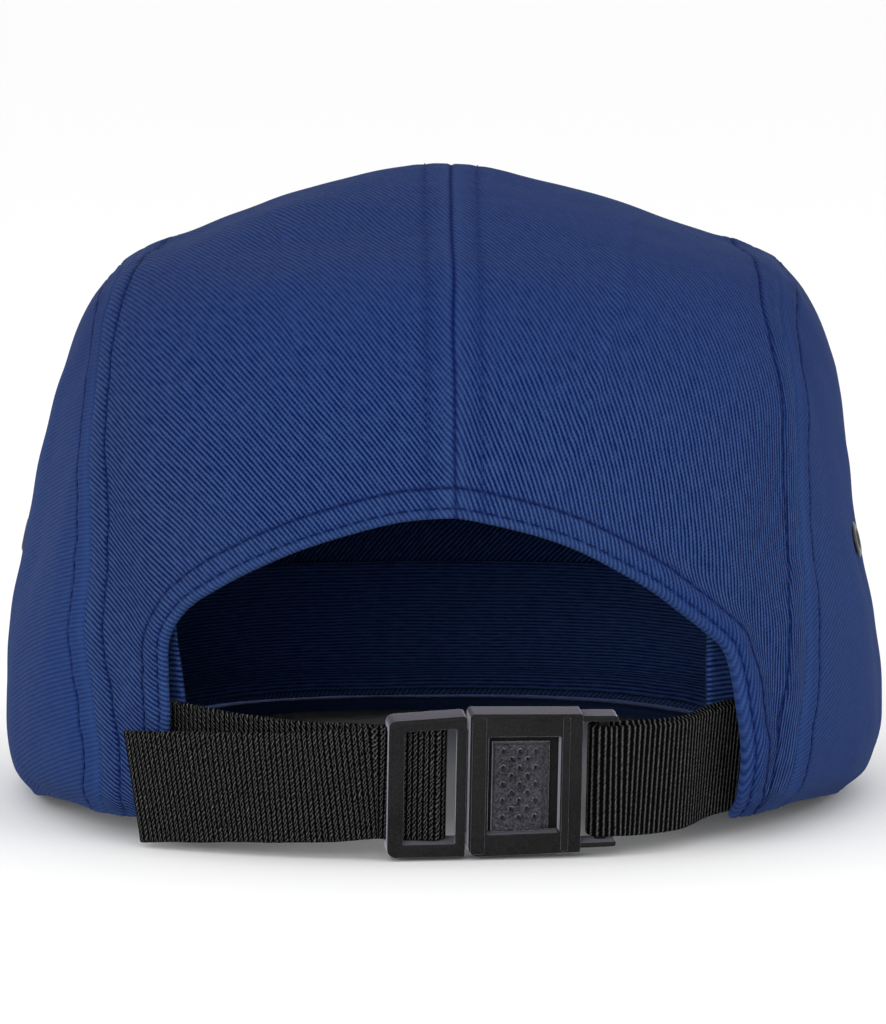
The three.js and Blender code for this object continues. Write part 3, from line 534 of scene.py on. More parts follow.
def flatten(patch, right, across=36, up=28, rounds=2500, pace=1.6):
    """The patch's cloth laid flat, in mm, as seen with the way right: a function of its two shares."""
    p, q = np.meshgrid(np.linspace(0, 1, across + 1), np.linspace(0, 1, up + 1))
    solid = crown(patch(p, q)).reshape(-1, 3)
    flat = patch(p, q).reshape(-1, 2) * CHART_SCALE
    number = np.arange(len(solid)).reshape(up + 1, across + 1)
    neighbours = (
        (number[:, :-1], number[:, 1:]), (number[:-1], number[1:]),
        (number[:-1, :-1], number[1:, 1:]), (number[1:, :-1], number[:-1, 1:]),
    )
    pairs = np.vstack([np.stack(pair, -1).reshape(-1, 2) for pair in neighbours])
    a, b = pairs.T
    rest = np.linalg.norm(solid[a] - solid[b], axis=1)
    share = np.bincount(pairs.ravel(), minlength=len(solid))[:, None]
    for _ in range(rounds):
        gap = flat[b] - flat[a]
        length = np.maximum(np.linalg.norm(gap, axis=1), 1e-6)
        pull = gap * (0.5 * (1 - rest / length))[:, None]
        move = np.zeros_like(flat)
        np.add.at(move, a, pull)
        np.add.at(move, b, -pull)
        flat = flat + pace * move / share
    normal = slopes(patch(p, q).reshape(-1, 2))[2]
    facing = np.clip(normal @ np.cross(right, UP), 0, 1)[:, None] ** 2
    seen = solid @ np.array([right, UP]).T
    middle, seen_middle = (flat * facing).sum(0) / facing.sum(), (seen * facing).sum(0) / facing.sum()
    u, _, v = np.linalg.svd(((flat - middle) * facing).T @ (seen - seen_middle))
    flat = ((flat - middle) @ u @ v + seen_middle).reshape(up + 1, across + 1, 2)

    def at(p, q):
        x, y = np.clip(p, 0, 1) * across, np.clip(q, 0, 1) * up
        i, j = np.minimum(x.astype(int), across - 1), np.minimum(y.astype(int), up - 1)
        s, t = (x - i)[..., None], (y - j)[..., None]
        low = flat[j, i] * (1 - s) + flat[j, i + 1] * s
        high = flat[j + 1, i] * (1 - s) + flat[j + 1, i + 1] * s
        return low * (1 - t) + high * t

    return at


def new_object(name, points, faces, material):
    """A mesh object from points in mm in the crown's frame."""
    mesh = bpy.data.meshes.new(name)
    placed = np.asarray(points, float) * MM + np.array(SHIFT)
    mesh.from_pydata(placed.tolist(), [], [tuple(int(i) for i in face) for face in faces])
    mesh.validate()
    mesh.shade_smooth()
    obj = bpy.data.objects.new(name, mesh)
    bpy.context.scene.collection.objects.link(obj)
    mesh.materials.append(material)
    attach(obj, "root")
    return obj


def wall(outer, inner):
    """A closed wall between two grids of points, as its points and faces."""
    rows, columns = outer.shape[:2]
    size = rows * columns
    number = np.arange(size).reshape(rows, columns)
    front = np.stack([number[:-1, :-1], number[:-1, 1:], number[1:, 1:], number[1:, :-1]], -1).reshape(-1, 4)
    loop = np.concatenate([number[0], number[1:, -1], number[-1, -2::-1], number[-2:0:-1, 0]])
    ahead = np.roll(loop, -1)
    side = np.stack([ahead, loop, loop + size, ahead + size], -1)
    points = np.concatenate([outer.reshape(-1, 3), inner.reshape(-1, 3)])
    return points, np.vstack([front, front[:, ::-1] + size, side])


def lay_cloth(obj, *grids):
    """The UV map of the cloth: for each vertex its place in mm on the flat cloth."""
    uv = np.concatenate([grid.reshape(-1, 2) for grid in grids]) * MM
    corners = np.zeros(len(obj.data.loops), int)
    obj.data.loops.foreach_get("vertex_index", corners)
    layer = obj.data.uv_layers.new(name="cloth")
    layer.data.foreach_set("uv", uv[corners].astype(np.float32).ravel())


def turned(uv, degrees):
    """Flat cloth places as (across, along) a twill whose lines lean by this angle."""
    c, s = math.cos(math.radians(degrees)), math.sin(math.radians(degrees))
    return np.stack([-s * uv[..., 0] + c * uv[..., 1], c * uv[..., 0] + s * uv[..., 1]], -1)


def cloth_panel(name, patch, material):
    """One panel of the crown: a fine wall of cloth with its seams, hems and twill."""
    grid, right, lean = PANELS[name]
    p, q, spots = fine_grid(patch, *grid)
    base = crown(spots)
    normal = slopes(spots)[2]
    out, near = relief(base)
    edge = np.minimum(near["arch"][0], near["rim"][0])
    thickness = CLOTH + (HEM - CLOTH) * hem_share(near["arch"][0])
    draw = hem_rounding(edge, thickness)
    outer = base + normal * (out - draw)[..., None]
    inner = base + normal * (np.minimum(out, INSIDE_SHARE * out) - thickness + draw)[..., None]
    obj = new_object(name, *wall(outer, inner), material)
    flat = turned(flatten(patch, right)(p, q), lean)
    lay_cloth(obj, flat, flat)
    for attribute, values in wear_and_painted_light(near, base[..., 2]).items():
        layer = obj.data.attributes.new(attribute, "FLOAT", "POINT")
        layer.data.foreach_set("value", np.tile(np.clip(values, 0, 1).ravel(), 2).astype(np.float32))
    mend(obj, weld=0.01)
    for spot in EYELETS.values():
        pierce(obj, crown(place([spot]))[0])
    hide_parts(name)


def pierce(obj, centre, reach=2.6, radius=2.15):
    """A round hole through a wall of cloth, where the centre is on it."""
    middle = Vector(centre * MM) + SHIFT
    bm = bmesh.new()
    bm.from_mesh(obj.data)
    inside = [f for f in bm.faces if (f.calc_center_median() - middle).length < reach * MM]
    if inside:
        bmesh.ops.delete(bm, geom=inside, context="FACES")
        edges = [e for e in bm.edges if e.is_boundary]
        bmesh.ops.bridge_loops(bm, edges=edges)
        normal = (middle - SHIFT - Vector((0, 0, middle.z))).normalized()
        for v in {v for e in edges for v in e.verts}:
            out = v.co - middle
            flat = out - normal * out.dot(normal)
            v.co += flat * (radius * MM / flat.length - 1)
        bmesh.ops.recalc_face_normals(bm, faces=bm.faces)
        bm.to_mesh(obj.data)
    bm.free()


def mend(obj, weld=None):
    """Turns every face outward, after joining points that are less than weld apart, in mm."""
    bm = bmesh.new()
    bm.from_mesh(obj.data)
    if weld:
        bmesh.ops.remove_doubles(bm, verts=bm.verts, dist=weld * MM)
    bmesh.ops.recalc_face_normals(bm, faces=bm.faces)
    bm.to_mesh(obj.data)
    bm.free()


def skin_at(spots):
    """Points on the relief's outer face, with the crown's normals."""
    base, normal = crown(spots), slopes(spots)[2]
    return base + normal * relief(base)[0][..., None], normal


def beside(spots, distance, steps=8):
    """A line of spots moved sideways over the crown, in mm. Above 0 is to its left, seen from outside."""
    for _ in range(steps):
        along_x, along_y, normal = slopes(spots)
        side = np.cross(normal, unit(np.gradient(crown(spots), axis=0)))
        a, b = (side * along_x).sum(-1), (side * along_y).sum(-1)
        xx, xy, yy = (along_x**2).sum(-1), (along_x * along_y).sum(-1), (along_y**2).sum(-1)
        move = np.stack([a * yy - b * xy, b * xx - a * xy], -1) / (xx * yy - xy**2)[..., None]
        spots = spots + move * distance / steps
    return spots


def stitch(at, along, way, normals, sides=5):
    """A short thread at places along a row, whose ends go down into the cloth."""
    bends = np.linspace(-1, 1, len(at))
    up = unit(at_lengths(at, along, normals))
    centre = at_lengths(at, along, way) + up * (STITCH["rise"] - STITCH["dive"] * bends**4)[:, None]
    across = unit(np.cross(up, np.gradient(centre, axis=0)))
    turn = np.arange(sides) * 2 * math.pi / sides
    radius = STITCH["radius"] * np.sqrt(STITCH["fullness"] - bends**2 * STITCH["taper"])[:, None, None]
    ring = np.cos(turn)[:, None] * across[:, None] + np.sin(turn)[:, None] * up[:, None]
    return loft(list(centre[:, None] + radius * ring), False)


def stitches(name, rows, material):
    """Topstitching along rows of (points, normals)."""
    shapes = []
    for way, normals in rows:
        along = lengths_of(way)
        count = int(along[-1] / STITCH["spacing"])
        for k in range(count):
            middle = (k + 0.5) * along[-1] / count
            at = middle + np.linspace(-1, 1, 6) * STITCH["length"] / 2
            shapes.append(stitch(at, along, way, normals))
    obj = new_object(name, *merged(shapes), material)


def clip_matrix():
    lean, yaw = math.radians(CLIP["lean"]), math.radians(CLIP["yaw"])
    turn = np.array([[math.cos(yaw), -math.sin(yaw), 0], [math.sin(yaw), math.cos(yaw), 0], [0, 0, 1]])
    tip = np.array([[1, 0, 0], [0, -math.sin(lean), -math.cos(lean)], [0, math.cos(lean), -math.sin(lean)]])
    return turn @ tip


CLIP_TURN = clip_matrix()
CLIP_PLACE = np.array([CLIP["left"], CLIP["back"], CLIP["mid"]])


def on_clip(points):
    return np.asarray(points, float) @ CLIP_TURN.T + CLIP_PLACE


def clip_rows(rows):
    return [(*on_clip((along, 0, out)), CLIP["lean"]) for along, out in rows]


def through_bar(bar):
    """Half a bar's thickness, and how far out its middle is."""
    return (bar["front"] - bar["back"]) / 2, (bar["front"] + bar["back"]) / 2


def round_bar(bar, side):
    """Half a turn of webbing round a bar, from its front to its back."""
    half, middle = through_bar(bar)
    radius = half + WEBBING["gap"] + WEBBING["thickness"] / 2
    end = bar["to"] - half if side < 0 else bar["from"] + half
    angles = math.pi * (0.5 - np.arange(7) / 6)
    return clip_rows([(end - side * radius * math.cos(a), middle + radius * math.sin(a)) for a in angles])


def tape_section():
    """The webbing's section: places across and through it, once round, and how flat it is there."""
    half_width, half = WEBBING["width"] / 2, WEBBING["thickness"] / 2
    flat = np.linspace(-1, 1, 27) * (half_width - half)
    turn = np.radians([60, 30, 0, -30, -60])
    edge = np.column_stack([flat[-1] + half * np.cos(turn), half * np.sin(turn)])
    front = np.column_stack([flat, np.full(len(flat), half)])
    section = np.vstack([front, edge, -front, -edge])
    return section, np.clip((half_width - np.abs(section[:, 0])) / WEBBING["selvedge"], 0, 1)


def tape(name, rows, material, fine=0.17, nearby=0.002):
    """A strap of ribbed webbing along rows of (x, y, z, lean)."""
    rows = np.array(rows, float)
    middle = route(rows[:, :3])
    chords = lengths_of(rows[:, :3])
    share = np.linspace(0, 1, int(chords[-1] / fine))
    centre = middle(share)
    along = lengths_of(centre)[:, None]
    ahead = unit(middle(np.minimum(share + nearby, 1)) - middle(np.maximum(share - nearby, 0)))
    lean = np.radians(np.interp(share * chords[-1], chords, rows[:, 3]))[:, None]
    yaw = math.radians(CLIP["yaw"])
    away = np.array([math.sin(yaw), -math.cos(yaw), 0.0])
    up = away * np.sin(lean) + UP * np.cos(lean)
    up = unit(up - ahead * (up * ahead).sum(-1, keepdims=True))
    through = np.cross(ahead, up)
    section, flatness = tape_section()
    across, depth = section.T
    rise = 0.5 - 0.5 * np.cos(2 * math.pi * along / WEBBING["rib"])
    rib = WEBBING["rib_depth"] * rise ** WEBBING["rib_roundness"]
    depth = depth - np.sign(depth) * (WEBBING["rib_depth"] - rib) * flatness
    wander = sum(size * np.sin(along / length + start) for size, length, start in EDGE_WANDER)
    reach = across + wander * np.sign(across) * (1 - flatness)
    points = centre[:, None] + through[:, None] * depth[..., None] + up[:, None] * reach[..., None]
    points, faces = loft(list(points), False)
    obj = new_object(name, points, faces, material)
    lay_cloth(obj, np.stack(np.broadcast_arrays(along, across[None]), -1))
    mend(obj)
    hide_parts(name)


def rounded(x0, x1, y0, y1, radii, steps=6):
    """A rectangle with round corners, from its lower left one on, counterclockwise."""
    corners = [(x0, y0, 1, 1), (x1, y0, -1, 1), (x1, y1, -1, -1), (x0, y1, 1, -1)]
    points = []
    for k, ((x, y, right, up), radius) in enumerate(zip(corners, radii)):
        for angle in np.radians(180 + 90 * k + np.linspace(0, 90, steps)):
            c, s = math.cos(angle), math.sin(angle)
            points.append((x + (right + c) * radius, y + (up + s) * radius))
    return np.array(points)


def loft(loops, closed):
    """A mesh through loops of as many points each: a ring if closed, else capped at both ends."""
    points = np.concatenate(loops)
    size = len(loops[0])
    number = np.arange(len(points)).reshape(-1, size)
    rows = np.vstack([number, number[:1]]) if closed else number
    beyond = np.roll(rows, -1, axis=1)
    faces = np.stack([rows[:-1], beyond[:-1], beyond[1:], rows[1:]], -1).reshape(-1, 4).tolist()
    if not closed:
        faces += [number[0][::-1].tolist(), number[-1].tolist()]
    return points, faces


def level(outline, z):
    return np.column_stack([outline, np.full(len(outline), z)])


def edge_loops(shape, grow, z_from, z_to, bevel):
    """Loops along a wall from z_from to z_to with rounded edges. shape(inset) gives its outline."""
    way = bevel if z_to > z_from else -bevel
    turn = [(1 - math.sin(angle), 1 - math.cos(angle)) for angle in np.radians([0, 30, 60, 90])]
    loops = [(inset, z_from + way * rise) for inset, rise in turn]
    loops += [(inset, z_to - way * rise) for inset, rise in turn[::-1]]
    return [level(shape(grow * bevel * inset), z) for inset, z in loops]


def inset_rectangle(x0, x1, y0, y1, radii):
    """A round-cornered rectangle's outline as a function of how far it is drawn in."""
    def shape(inset):
        corners = [max(radius - inset, 0.05) for radius in radii]
        return rounded(x0 + inset, x1 - inset, y0 + inset, y1 - inset, corners)

    return shape


def with_lip(loop, lip):
    """The loop with its left side brought forward, so that webbing passes behind it."""
    x, _, z = loop[-1]
    across, ahead = lip["across"], max(z, lip["back"])
    side = [(x, across + 0.1, z), (x, across, ahead), (x, -across, ahead), (x, -across - 0.1, z)]
    return np.vstack([loop, side])


def frame_ring(outer, inner, bevel, opening_bevel, draft, lip):
    """A frame of rounded edges round an opening, whose right wall gets thinner by the draft to the back."""
    outside = edge_loops(inset_rectangle(*outer), 1, -CLIP["depth"], 0.0, bevel)
    inside = edge_loops(inset_rectangle(*inner), -1, 0.0, -CLIP["depth"], opening_bevel)
    middle = (inner[0] + inner[1]) / 2
    for loop in inside:
        loop[:, 0] -= draft * loop[:, 2] / CLIP["depth"] * (loop[:, 0] > middle)
    return loft([with_lip(loop, lip) for loop in outside + inside], True)


def bar_between(bar, low, high, segments=16):
    """A bar with a rounded section across a slot."""
    half, middle = through_bar(bar)
    angles = np.linspace(0, 2 * math.pi, segments, endpoint=False)
    reach = (bar["to"] - bar["from"]) / 2 - half
    x = (bar["from"] + bar["to"]) / 2 + reach * np.sign(np.cos(angles)) + half * np.cos(angles)
    z = middle + half * np.sin(angles)
    return loft([np.column_stack([x, np.full(segments, y), z]) for y in (low, high)], False)


def block(x0, x1, y0, y1, back, front, bevel=0.3, radii=(0.5,) * 4):
    return loft(edge_loops(inset_rectangle(x0, x1, y0, y1, radii), 1, back, front, bevel), False)


def pocketed(outer, inner, floor, bevel, brim=0.25):
    """A plate with a pocket sunk into its front, past a rounded brim."""
    pocket = inset_rectangle(*inner)
    loops = edge_loops(inset_rectangle(*outer), 1, -CLIP["depth"], 0.0, bevel)
    for angle in np.radians([0, 45, 90]):
        loops.append(level(pocket(-brim * (1 - math.sin(angle))), -brim * (1 - math.cos(angle))))
    loops.append(level(pocket(0), floor))
    return loft(loops, False)


def tapered(shape, start, low, high):
    """A shape whose lower and upper sides close in by these shares for each mm past its start."""
    points, faces = shape
    closing = (points[:, 0] - start) * np.where(points[:, 1] < 0, low, high)
    return points * np.column_stack([np.ones(len(points)), 1 - closing, np.ones(len(points))]), faces


def merged(shapes):
    """Several shapes, each (points, faces), as one."""
    starts = np.cumsum([0] + [len(points) for points, _ in shapes])
    faces = [[start + i for i in face] for (_, each), start in zip(shapes, starts) for face in each]
    return np.concatenate([points for points, _ in shapes]), faces


def joined(name, shapes, material):
    """Shapes in the clip's frame as one piece, in place of the CAD node of its name."""
    points, faces = merged(shapes)
    obj = new_object(name, on_clip(points), faces, material)
    mend(obj)
    sharpen(obj)
    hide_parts(name)


def sharpen(obj, degrees=35):
    """Sharp corners, and large flat faces that stay flat beside their rounded edges."""
    obj.data.set_sharp_from_angle(angle=math.radians(degrees))
    obj.modifiers.new("normals", "WEIGHTED_NORMAL").keep_sharp = True


def stitch_row(spots, margin=1.2):
    """The stretch of a line that is on the crown, a margin in mm away from its rim."""
    gap = to_line(crown(spots), EDGE_LINES["rim"])[0]
    spots = spots[(np.hypot(spots[:, 0], spots[:, 1]) < 1) & (gap > margin)]
    return skin_at(spots[:: max(len(spots) // 400, 1)])


def topstitching():
    """Two rows along each seam and along the opening's edge."""
    rows = {name: [stitch_row(beside(EDGES[name], way * SEAM_WIDTH)) for way in (-1, 1)] for name in SEAMS}
    stitches("mid_stitches", rows.pop("mid"), blue_thread)
    stitches("seam_stitches", sum(rows.values(), []), navy_thread)
    rows = [stitch_row(beside(EDGES["arch"], gap, 12)) for gap in (EDGE_ROW, HEM_WIDTH)]
    stitches("hem_stitches", rows, navy_thread)


def sweatband(across=360, up=24):
    """The band inside the rim, whose ends stand out into the opening."""
    turn, share = np.meshgrid(np.linspace(0, 1, across + 1), np.linspace(0, 1, up + 1))
    first = SWEATBAND["from"] + BAND_ENDS["right"]["slant"] * share**2
    last = SWEATBAND["to"] + BAND_ENDS["left"]["slant"] * share**2
    degrees = first + (last - first) * turn
    near_end = {side: ease((degrees - end["at"]) / end["over"]) for side, end in BAND_ENDS.items()}
    high = SWEATBAND["high"] - sum(end["up"] * near_end[side] for side, end in BAND_ENDS.items())
    spots = on_chart(SWEATBAND["low"] + (high - SWEATBAND["low"]) * share, degrees)
    base, normal = crown(spots), slopes(spots)[2]
    bow = SWEATBAND["bow"] * np.sin(math.pi * share) + swell(base, BAND_SWELL)
    depth = SWEATBAND["depth"] + sum(end["in"] * near_end[side] for side, end in BAND_ENDS.items())
    outer = base - normal * depth[..., None]
    inner = outer - normal * (SWEATBAND["thickness"] + bow)[..., None]
    obj = new_object("sweatband", *wall(outer, inner), band_twill)
    along = lengths_of(base[up // 2])
    height = lengths_of(base[:, across // 2])[:, None]
    flat = np.stack(np.broadcast_arrays(height, along[None]), -1)
    lay_cloth(obj, flat, flat)
    mend(obj)
    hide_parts("sweatband")


def peak(across=150, out=70, skip=3):
    """The peak, with its cloth turned under at the edge and rows of stitching along it."""
    share, turn = np.meshgrid(np.linspace(0, 1, out + 1), np.linspace(1, -1, across + 1), indexing="ij")
    inner = crown(on_chart(1.0, 90 + turn * PEAK["spread"]))
    inner = inner + PEAK["tuck"] * unit(inner * np.array([-1, -1, 0])) - np.array([0, 0, PEAK["gap"]])
    s, c = np.sin(turn * math.pi / 2), np.cos(turn * math.pi / 2)
    outer = np.stack([
        -PEAK["half_width"] * np.sign(s) * np.abs(s) ** PEAK["roundness"],
        PEAK["back"] + (PEAK["front"] - PEAK["back"]) * np.maximum(c, 0) ** PEAK["roundness"],
        PEAK["edge_height"] - PEAK["edge_droop"] * s**2,
    ], -1)
    reach = np.linalg.norm(outer - inner, axis=-1)[0]
    share = np.stack([spread(out, length) for length in reach], -1)
    top = inner + (outer - inner) * share[..., None]
    edge = (1 - share) * reach
    draw = hem_rounding(edge, PEAK["thickness"])
    groove = PEAK["groove"] * sum(bell(edge - row, PEAK["groove_width"]) for row in PEAK["rows"])
    upper = top + UP * (swell(top, PEAK_SWELL) - draw - groove)[..., None]
    lower = top - UP * (PEAK["thickness"] - draw - groove)[..., None]
    obj = new_object("peak", *wall(upper, lower), twill)
    under = 2 * np.minimum(edge, PEAK["turned_under"]) + PEAK["round_edge"] * PEAK["thickness"]
    below = top[..., :2] + unit((outer - inner)[..., :2]) * under[..., None]
    lay_cloth(obj, *(turned(flat, PEAK["lean"]) for flat in (top[..., :2], below)))
    mend(obj, weld=0.01)
    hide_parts("peak")
    rows = []
    for row in PEAK["rows"]:
        at = np.array([np.interp(row, e[::-1], h[::-1]) for e, h in zip(edge.T, share.T)])
        points = inner[0] + (outer[0] - inner[0]) * at[:, None]
        points = points[skip:-skip]
        rows.append((points, np.tile(UP, (len(points), 1))))
    stitches("peak_stitches", rows, navy_thread)


def strap(name, stretches, bar, side, material):
    """A strap from its hem to its bar and back. side is -1 where it comes from the bar's left."""
    start, to_bar, from_bar, end = stretches.values()
    turn = round_bar(bar, side)[::side]
    tape(name, [*start, *clip_rows(to_bar), *turn, *clip_rows(from_bar), *end], material)


def clip():
    """The frame half with its strap bar and tongue, and the body half with its ridges, arms and end bar."""
    ring = tapered(frame_ring(**FRAME), **FRAME_TAPER)
    strap_bar = bar_between(STRAP_BAR, *STRAP_BAR_REACH)
    joined("buckle_left", [ring, strap_bar, block(*TONGUE)], buckle_black)
    blocks = [block(*sizes) for sizes in RIDGES + ARMS]
    shapes = [pocketed(**BODY), *blocks, bar_between(END_BAR, *END_BAR_REACH)]
    joined("buckle_right", [tapered(shape, **BODY_TAPER) for shape in shapes], buckle_black)


def grip_pad(across=74, up=116):
    """A crowned plate with staggered dimples."""
    x0, x1, y0, y1 = (PAD[side] for side in ("left", "right", "low", "high"))
    x, y = np.meshgrid(np.linspace(x0, x1, across + 1), np.linspace(y0, y1, up + 1))
    z = PAD["face"] - PAD["crown"] * ((2 * x - x0 - x1) / (x1 - x0)) ** 2
    z -= PAD_SLANT["drop"] * ease((x - x1 + PAD_SLANT["in"]) / PAD_SLANT["over"])
    for column, at in enumerate(COLUMNS):
        for drop in DROPS[column % 2]:
            gap = np.hypot(x - x0 - at, (y - y1 + drop) * DIMPLE["squash"])
            z -= DIMPLE["depth"] * bell(gap, DIMPLE["width"])
            z += DIMPLE["lip"] * bell(gap - DIMPLE["lip_at"], DIMPLE["lip_width"])
    z -= hem_rounding(np.min([x - x0, x1 - x, y - y0, y1 - y], axis=0), PAD_EDGE)
    shape = wall(np.stack([x, y, z], -1), np.stack([x, y, np.full(z.shape, PAD["back"])], -1))
    joined("release_button", [tapered(shape, **BODY_TAPER)], button_grey)


def eyelet(name, spot, segments=48):
    angles = np.linspace(0, 2 * math.pi, segments, endpoint=False)
    centre, normal = (value[0] for value in skin_at(place([spot])))
    side = unit(np.cross(normal, UP))
    ring = np.cos(angles)[:, None] * side + np.sin(angles)[:, None] * np.cross(side, normal)
    loops = [centre + normal * height + radius * ring for radius, height in EYELET_PROFILE]
    obj = new_object(name, *loft(loops, True), enamel)
    mend(obj)
    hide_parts(name)


def softbox(name, position, size, power):
    light = bpy.data.lights.new(name, "AREA")
    light.shape = "RECTANGLE"
    light.size, light.size_y = size
    light.energy = power
    obj = bpy.data.objects.new(name, light)
    obj.location = position
    obj.rotation_mode = "QUATERNION"
    obj.rotation_quaternion = (Vector(position) - target).to_track_quat("Z", "Y")
    bpy.context.scene.collection.objects.link(obj)


# Materials


class Nodes:
    """A new material's node tree, written as one call for each node."""

    def __init__(self, name, color, roughness, sockets):
        self.material = bpy.data.materials.new(name)
        self.material.use_nodes = True
        self.tree = self.material.node_tree
        self.shader = self.tree.nodes["Principled BSDF"]
        self.shader.inputs["Base Color"].default_value = (*color, 1)
        self.shader.inputs["Roughness"].default_value = roughness
        for socket, value in sockets.items():
            self.shader.inputs[socket].default_value = value

    def add(self, kind, *links, **settings):
        node = self.tree.nodes.new("ShaderNode" + kind)
        for key, value in settings.items():
            if hasattr(node, key):
                setattr(node, key, value)
            else:
                node.inputs[key.replace("_", " ").title()].default_value = value
        for socket, value in enumerate(links):
            self.put(node, socket, value)
        return node

    def put(self, node, socket, value):
        """Links a socket to another, or sets its value."""
        if isinstance(value, bpy.types.NodeSocket):
            self.tree.links.new(value, node.inputs[socket])
        elif value is not None:
            node.inputs[socket].default_value = value

    def math(self, operation, *values):
        return self.add("Math", *values, operation=operation).outputs[0]

    def total(self, *terms):
        """The sum of values times their weights."""
        result = 0.0
        for value, weight in terms:
            result = self.math("MULTIPLY_ADD", value, weight, result)
        return result

    def noise(self, where, scale, detail, space="3D", **more):
        node = self.add("TexNoise", where, noise_dimensions=space, Scale=scale, Detail=detail, **more)
        return node.outputs[0]

    def swing(self, *noise, **more):
        """Noise about zero."""
        return self.math("SUBTRACT", self.noise(*noise, **more), 0.5)

    def cloth(self):
        """Places on the flat cloth, in mm."""
        uv = self.add("UVMap", uv_map="cloth").outputs[0]
        return self.add("VectorMath", uv, (1000, 1000, 1000), operation="MULTIPLY").outputs[0]

    def attribute(self, name):
        return self.add("Attribute", attribute_name=name).outputs["Fac"]

    def mix(self, share, a, b):
        node = self.add("Mix", data_type="RGBA")
        for socket, value in ((0, share), (6, a), (7, b)):
            self.put(node, socket, (*value, 1) if isinstance(value, tuple) else value)
        return node.outputs[2]

    def bump(self, height, distance, strength):
        node = self.add("Bump", strength, distance)
        self.put(node, "Height", height)
        return node.outputs[0]

    def finish(self, **links):
        for socket, value in links.items():
            self.tree.links.new(value, self.shader.inputs[socket.replace("_", " ").title()])
        return self.material


def twill_material(name, dark, light, pitch=0.88, contrast=1.0, float_length=0.8):
    """Cotton twill: slanting ridges of uneven yarn, with painted highlight on the ridges and painted shade
    between them, toned down where dimming is painted, and painted shade along its stitching.
    """
    sheen = {"Sheen Weight": 0.03, "Sheen Roughness": 0.4, "Sheen Tint": (0.6, 0.7, 1.0, 1)}
    n = Nodes(name, light, 0.85, {"Specular IOR Level": 0.03, **sheen})
    mm = n.cloth()
    axes = n.add("SeparateXYZ", mm)
    across = n.math("MULTIPLY_ADD", n.swing(mm, 0.05, 1.0, "2D"), 0.5, axes.outputs[0])
    ridges = n.math("SINE", n.math("MULTIPLY", across, 2 * math.pi / pitch))
    floats = n.math("SINE", n.total((across, 3.0), (axes.outputs[1], 2 * math.pi / float_length)))
    long = n.add("VectorMath", mm, (1.8, 0.3, 1), operation="MULTIPLY").outputs[0]
    slubs = n.swing(long, 1.0, 3.0, "2D", Roughness=0.6)
    fuzz = n.swing(mm, 3.6, 2.0, "2D", Roughness=0.7)
    # The ridges and floats give painted highlight and shade; the slubs and fuzz are the yarn's own uneven
    # tone.
    yarn = n.total((ridges, 0.45), (floats, 0.07), (slubs, 1.0), (fuzz, 0.8))
    painted_dimming = n.attribute("painted_dimming")
    relief_share = n.math("MULTIPLY_ADD", painted_dimming, -1.7 * contrast, 1.7 * contrast)
    height = n.math("MULTIPLY_ADD", yarn, relief_share, 0.5)
    # Paler in random patches and with wear; on the hem band and its folded edge this paleness is painted
    # highlight.
    fade_and_highlight = n.total((n.attribute("wear_and_highlight"), 0.35), (n.swing(mm, 0.04, 3.0, "2D"), 0.35))
    # Painted shade along the stitching and folds, and toward the top and the right hem's fold.
    depth = n.total((painted_dimming, 0.56), (n.attribute("crease_shade"), 0.65))
    color = n.mix(depth, n.mix(fade_and_highlight, n.mix(height, dark, light), light), dark)
    return n.finish(Base_Color=color, Normal=n.bump(height, 0.0003, 0.9))


def webbing_material(name, dark, light, swing, yarn):
    """Ribbed webbing: each rib two yarns that cross in a chain of links, painted lighter on their humps and
    darker between them, as painted highlight and painted shade.
    """
    n = Nodes(name, light, 0.8, {"Specular IOR Level": 0.02})
    mm = n.cloth()
    axes = n.add("SeparateXYZ", mm)
    rib = n.math("DIVIDE", axes.outputs[0], WEBBING["rib"])
    number = n.math("FLOOR", rib)
    local = n.math("SUBTRACT", n.math("SUBTRACT", rib, number), 0.5)
    chance = n.add("TexWhiteNoise", None, number, noise_dimensions="1D").outputs[0]
    start = n.total((chance, 2 * math.pi), (n.noise(mm, 0.5, 1.0, "2D"), 5.0))
    link = n.math("MULTIPLY_ADD", axes.outputs[1], 2 * math.pi / WEBBING["link"], start)
    bend = n.math("MULTIPLY", n.math("SINE", link), swing)
    over = n.math("MULTIPLY", n.math("COSINE", link), 0.2)
    strands = []
    for way in (1, -1):
        gap = n.math("MULTIPLY_ADD", bend, way, local)
        hump = n.math("EXPONENT", n.math("MULTIPLY", n.math("MULTIPLY", gap, gap), -1 / yarn**2))
        strands.append(n.math("MULTIPLY", hump, n.math("MULTIPLY_ADD", over, way, 0.65)))
    height = n.math("MAXIMUM", *strands)
    shade = n.math("MULTIPLY_ADD", n.swing(mm, 1.6, 4.0, "2D", Roughness=0.7), 2.0, height)
    # Painted highlight on the yarn humps, painted shade in the gaps between them.
    color = n.mix(n.math("MULTIPLY", shade, n.math("POWER", height, 1.5)), dark, light)
    return n.finish(Base_Color=color, Normal=n.bump(height, 0.00025, 0.9))


def plastic_material(name, color, light, grain, bump, roughness=0.5, speckle=1.4):
    """Moulded plastic with a fine even grain and a dusty bloom."""
    sheen = {"Sheen Weight": 0.75, "Sheen Roughness": 0.3, "Sheen Tint": (0.88, 0.84, 1.0, 1)}
    n = Nodes(name, color, roughness, {"Specular IOR Level": 0.12, **sheen})
    where = n.add("TexCoord").outputs["Object"]
    fine = n.noise(where, grain, 2.0)
    shade = n.total((n.noise(where, 90.0, 3.0), 0.7), (n.math("SUBTRACT", fine, 0.5), speckle))
    gloss = n.math("MULTIPLY_ADD", fine, 0.2, roughness - 0.1)
    return n.finish(Base_Color=n.mix(shade, color, light), Roughness=gloss, Normal=n.bump(fine, bump, 0.6))


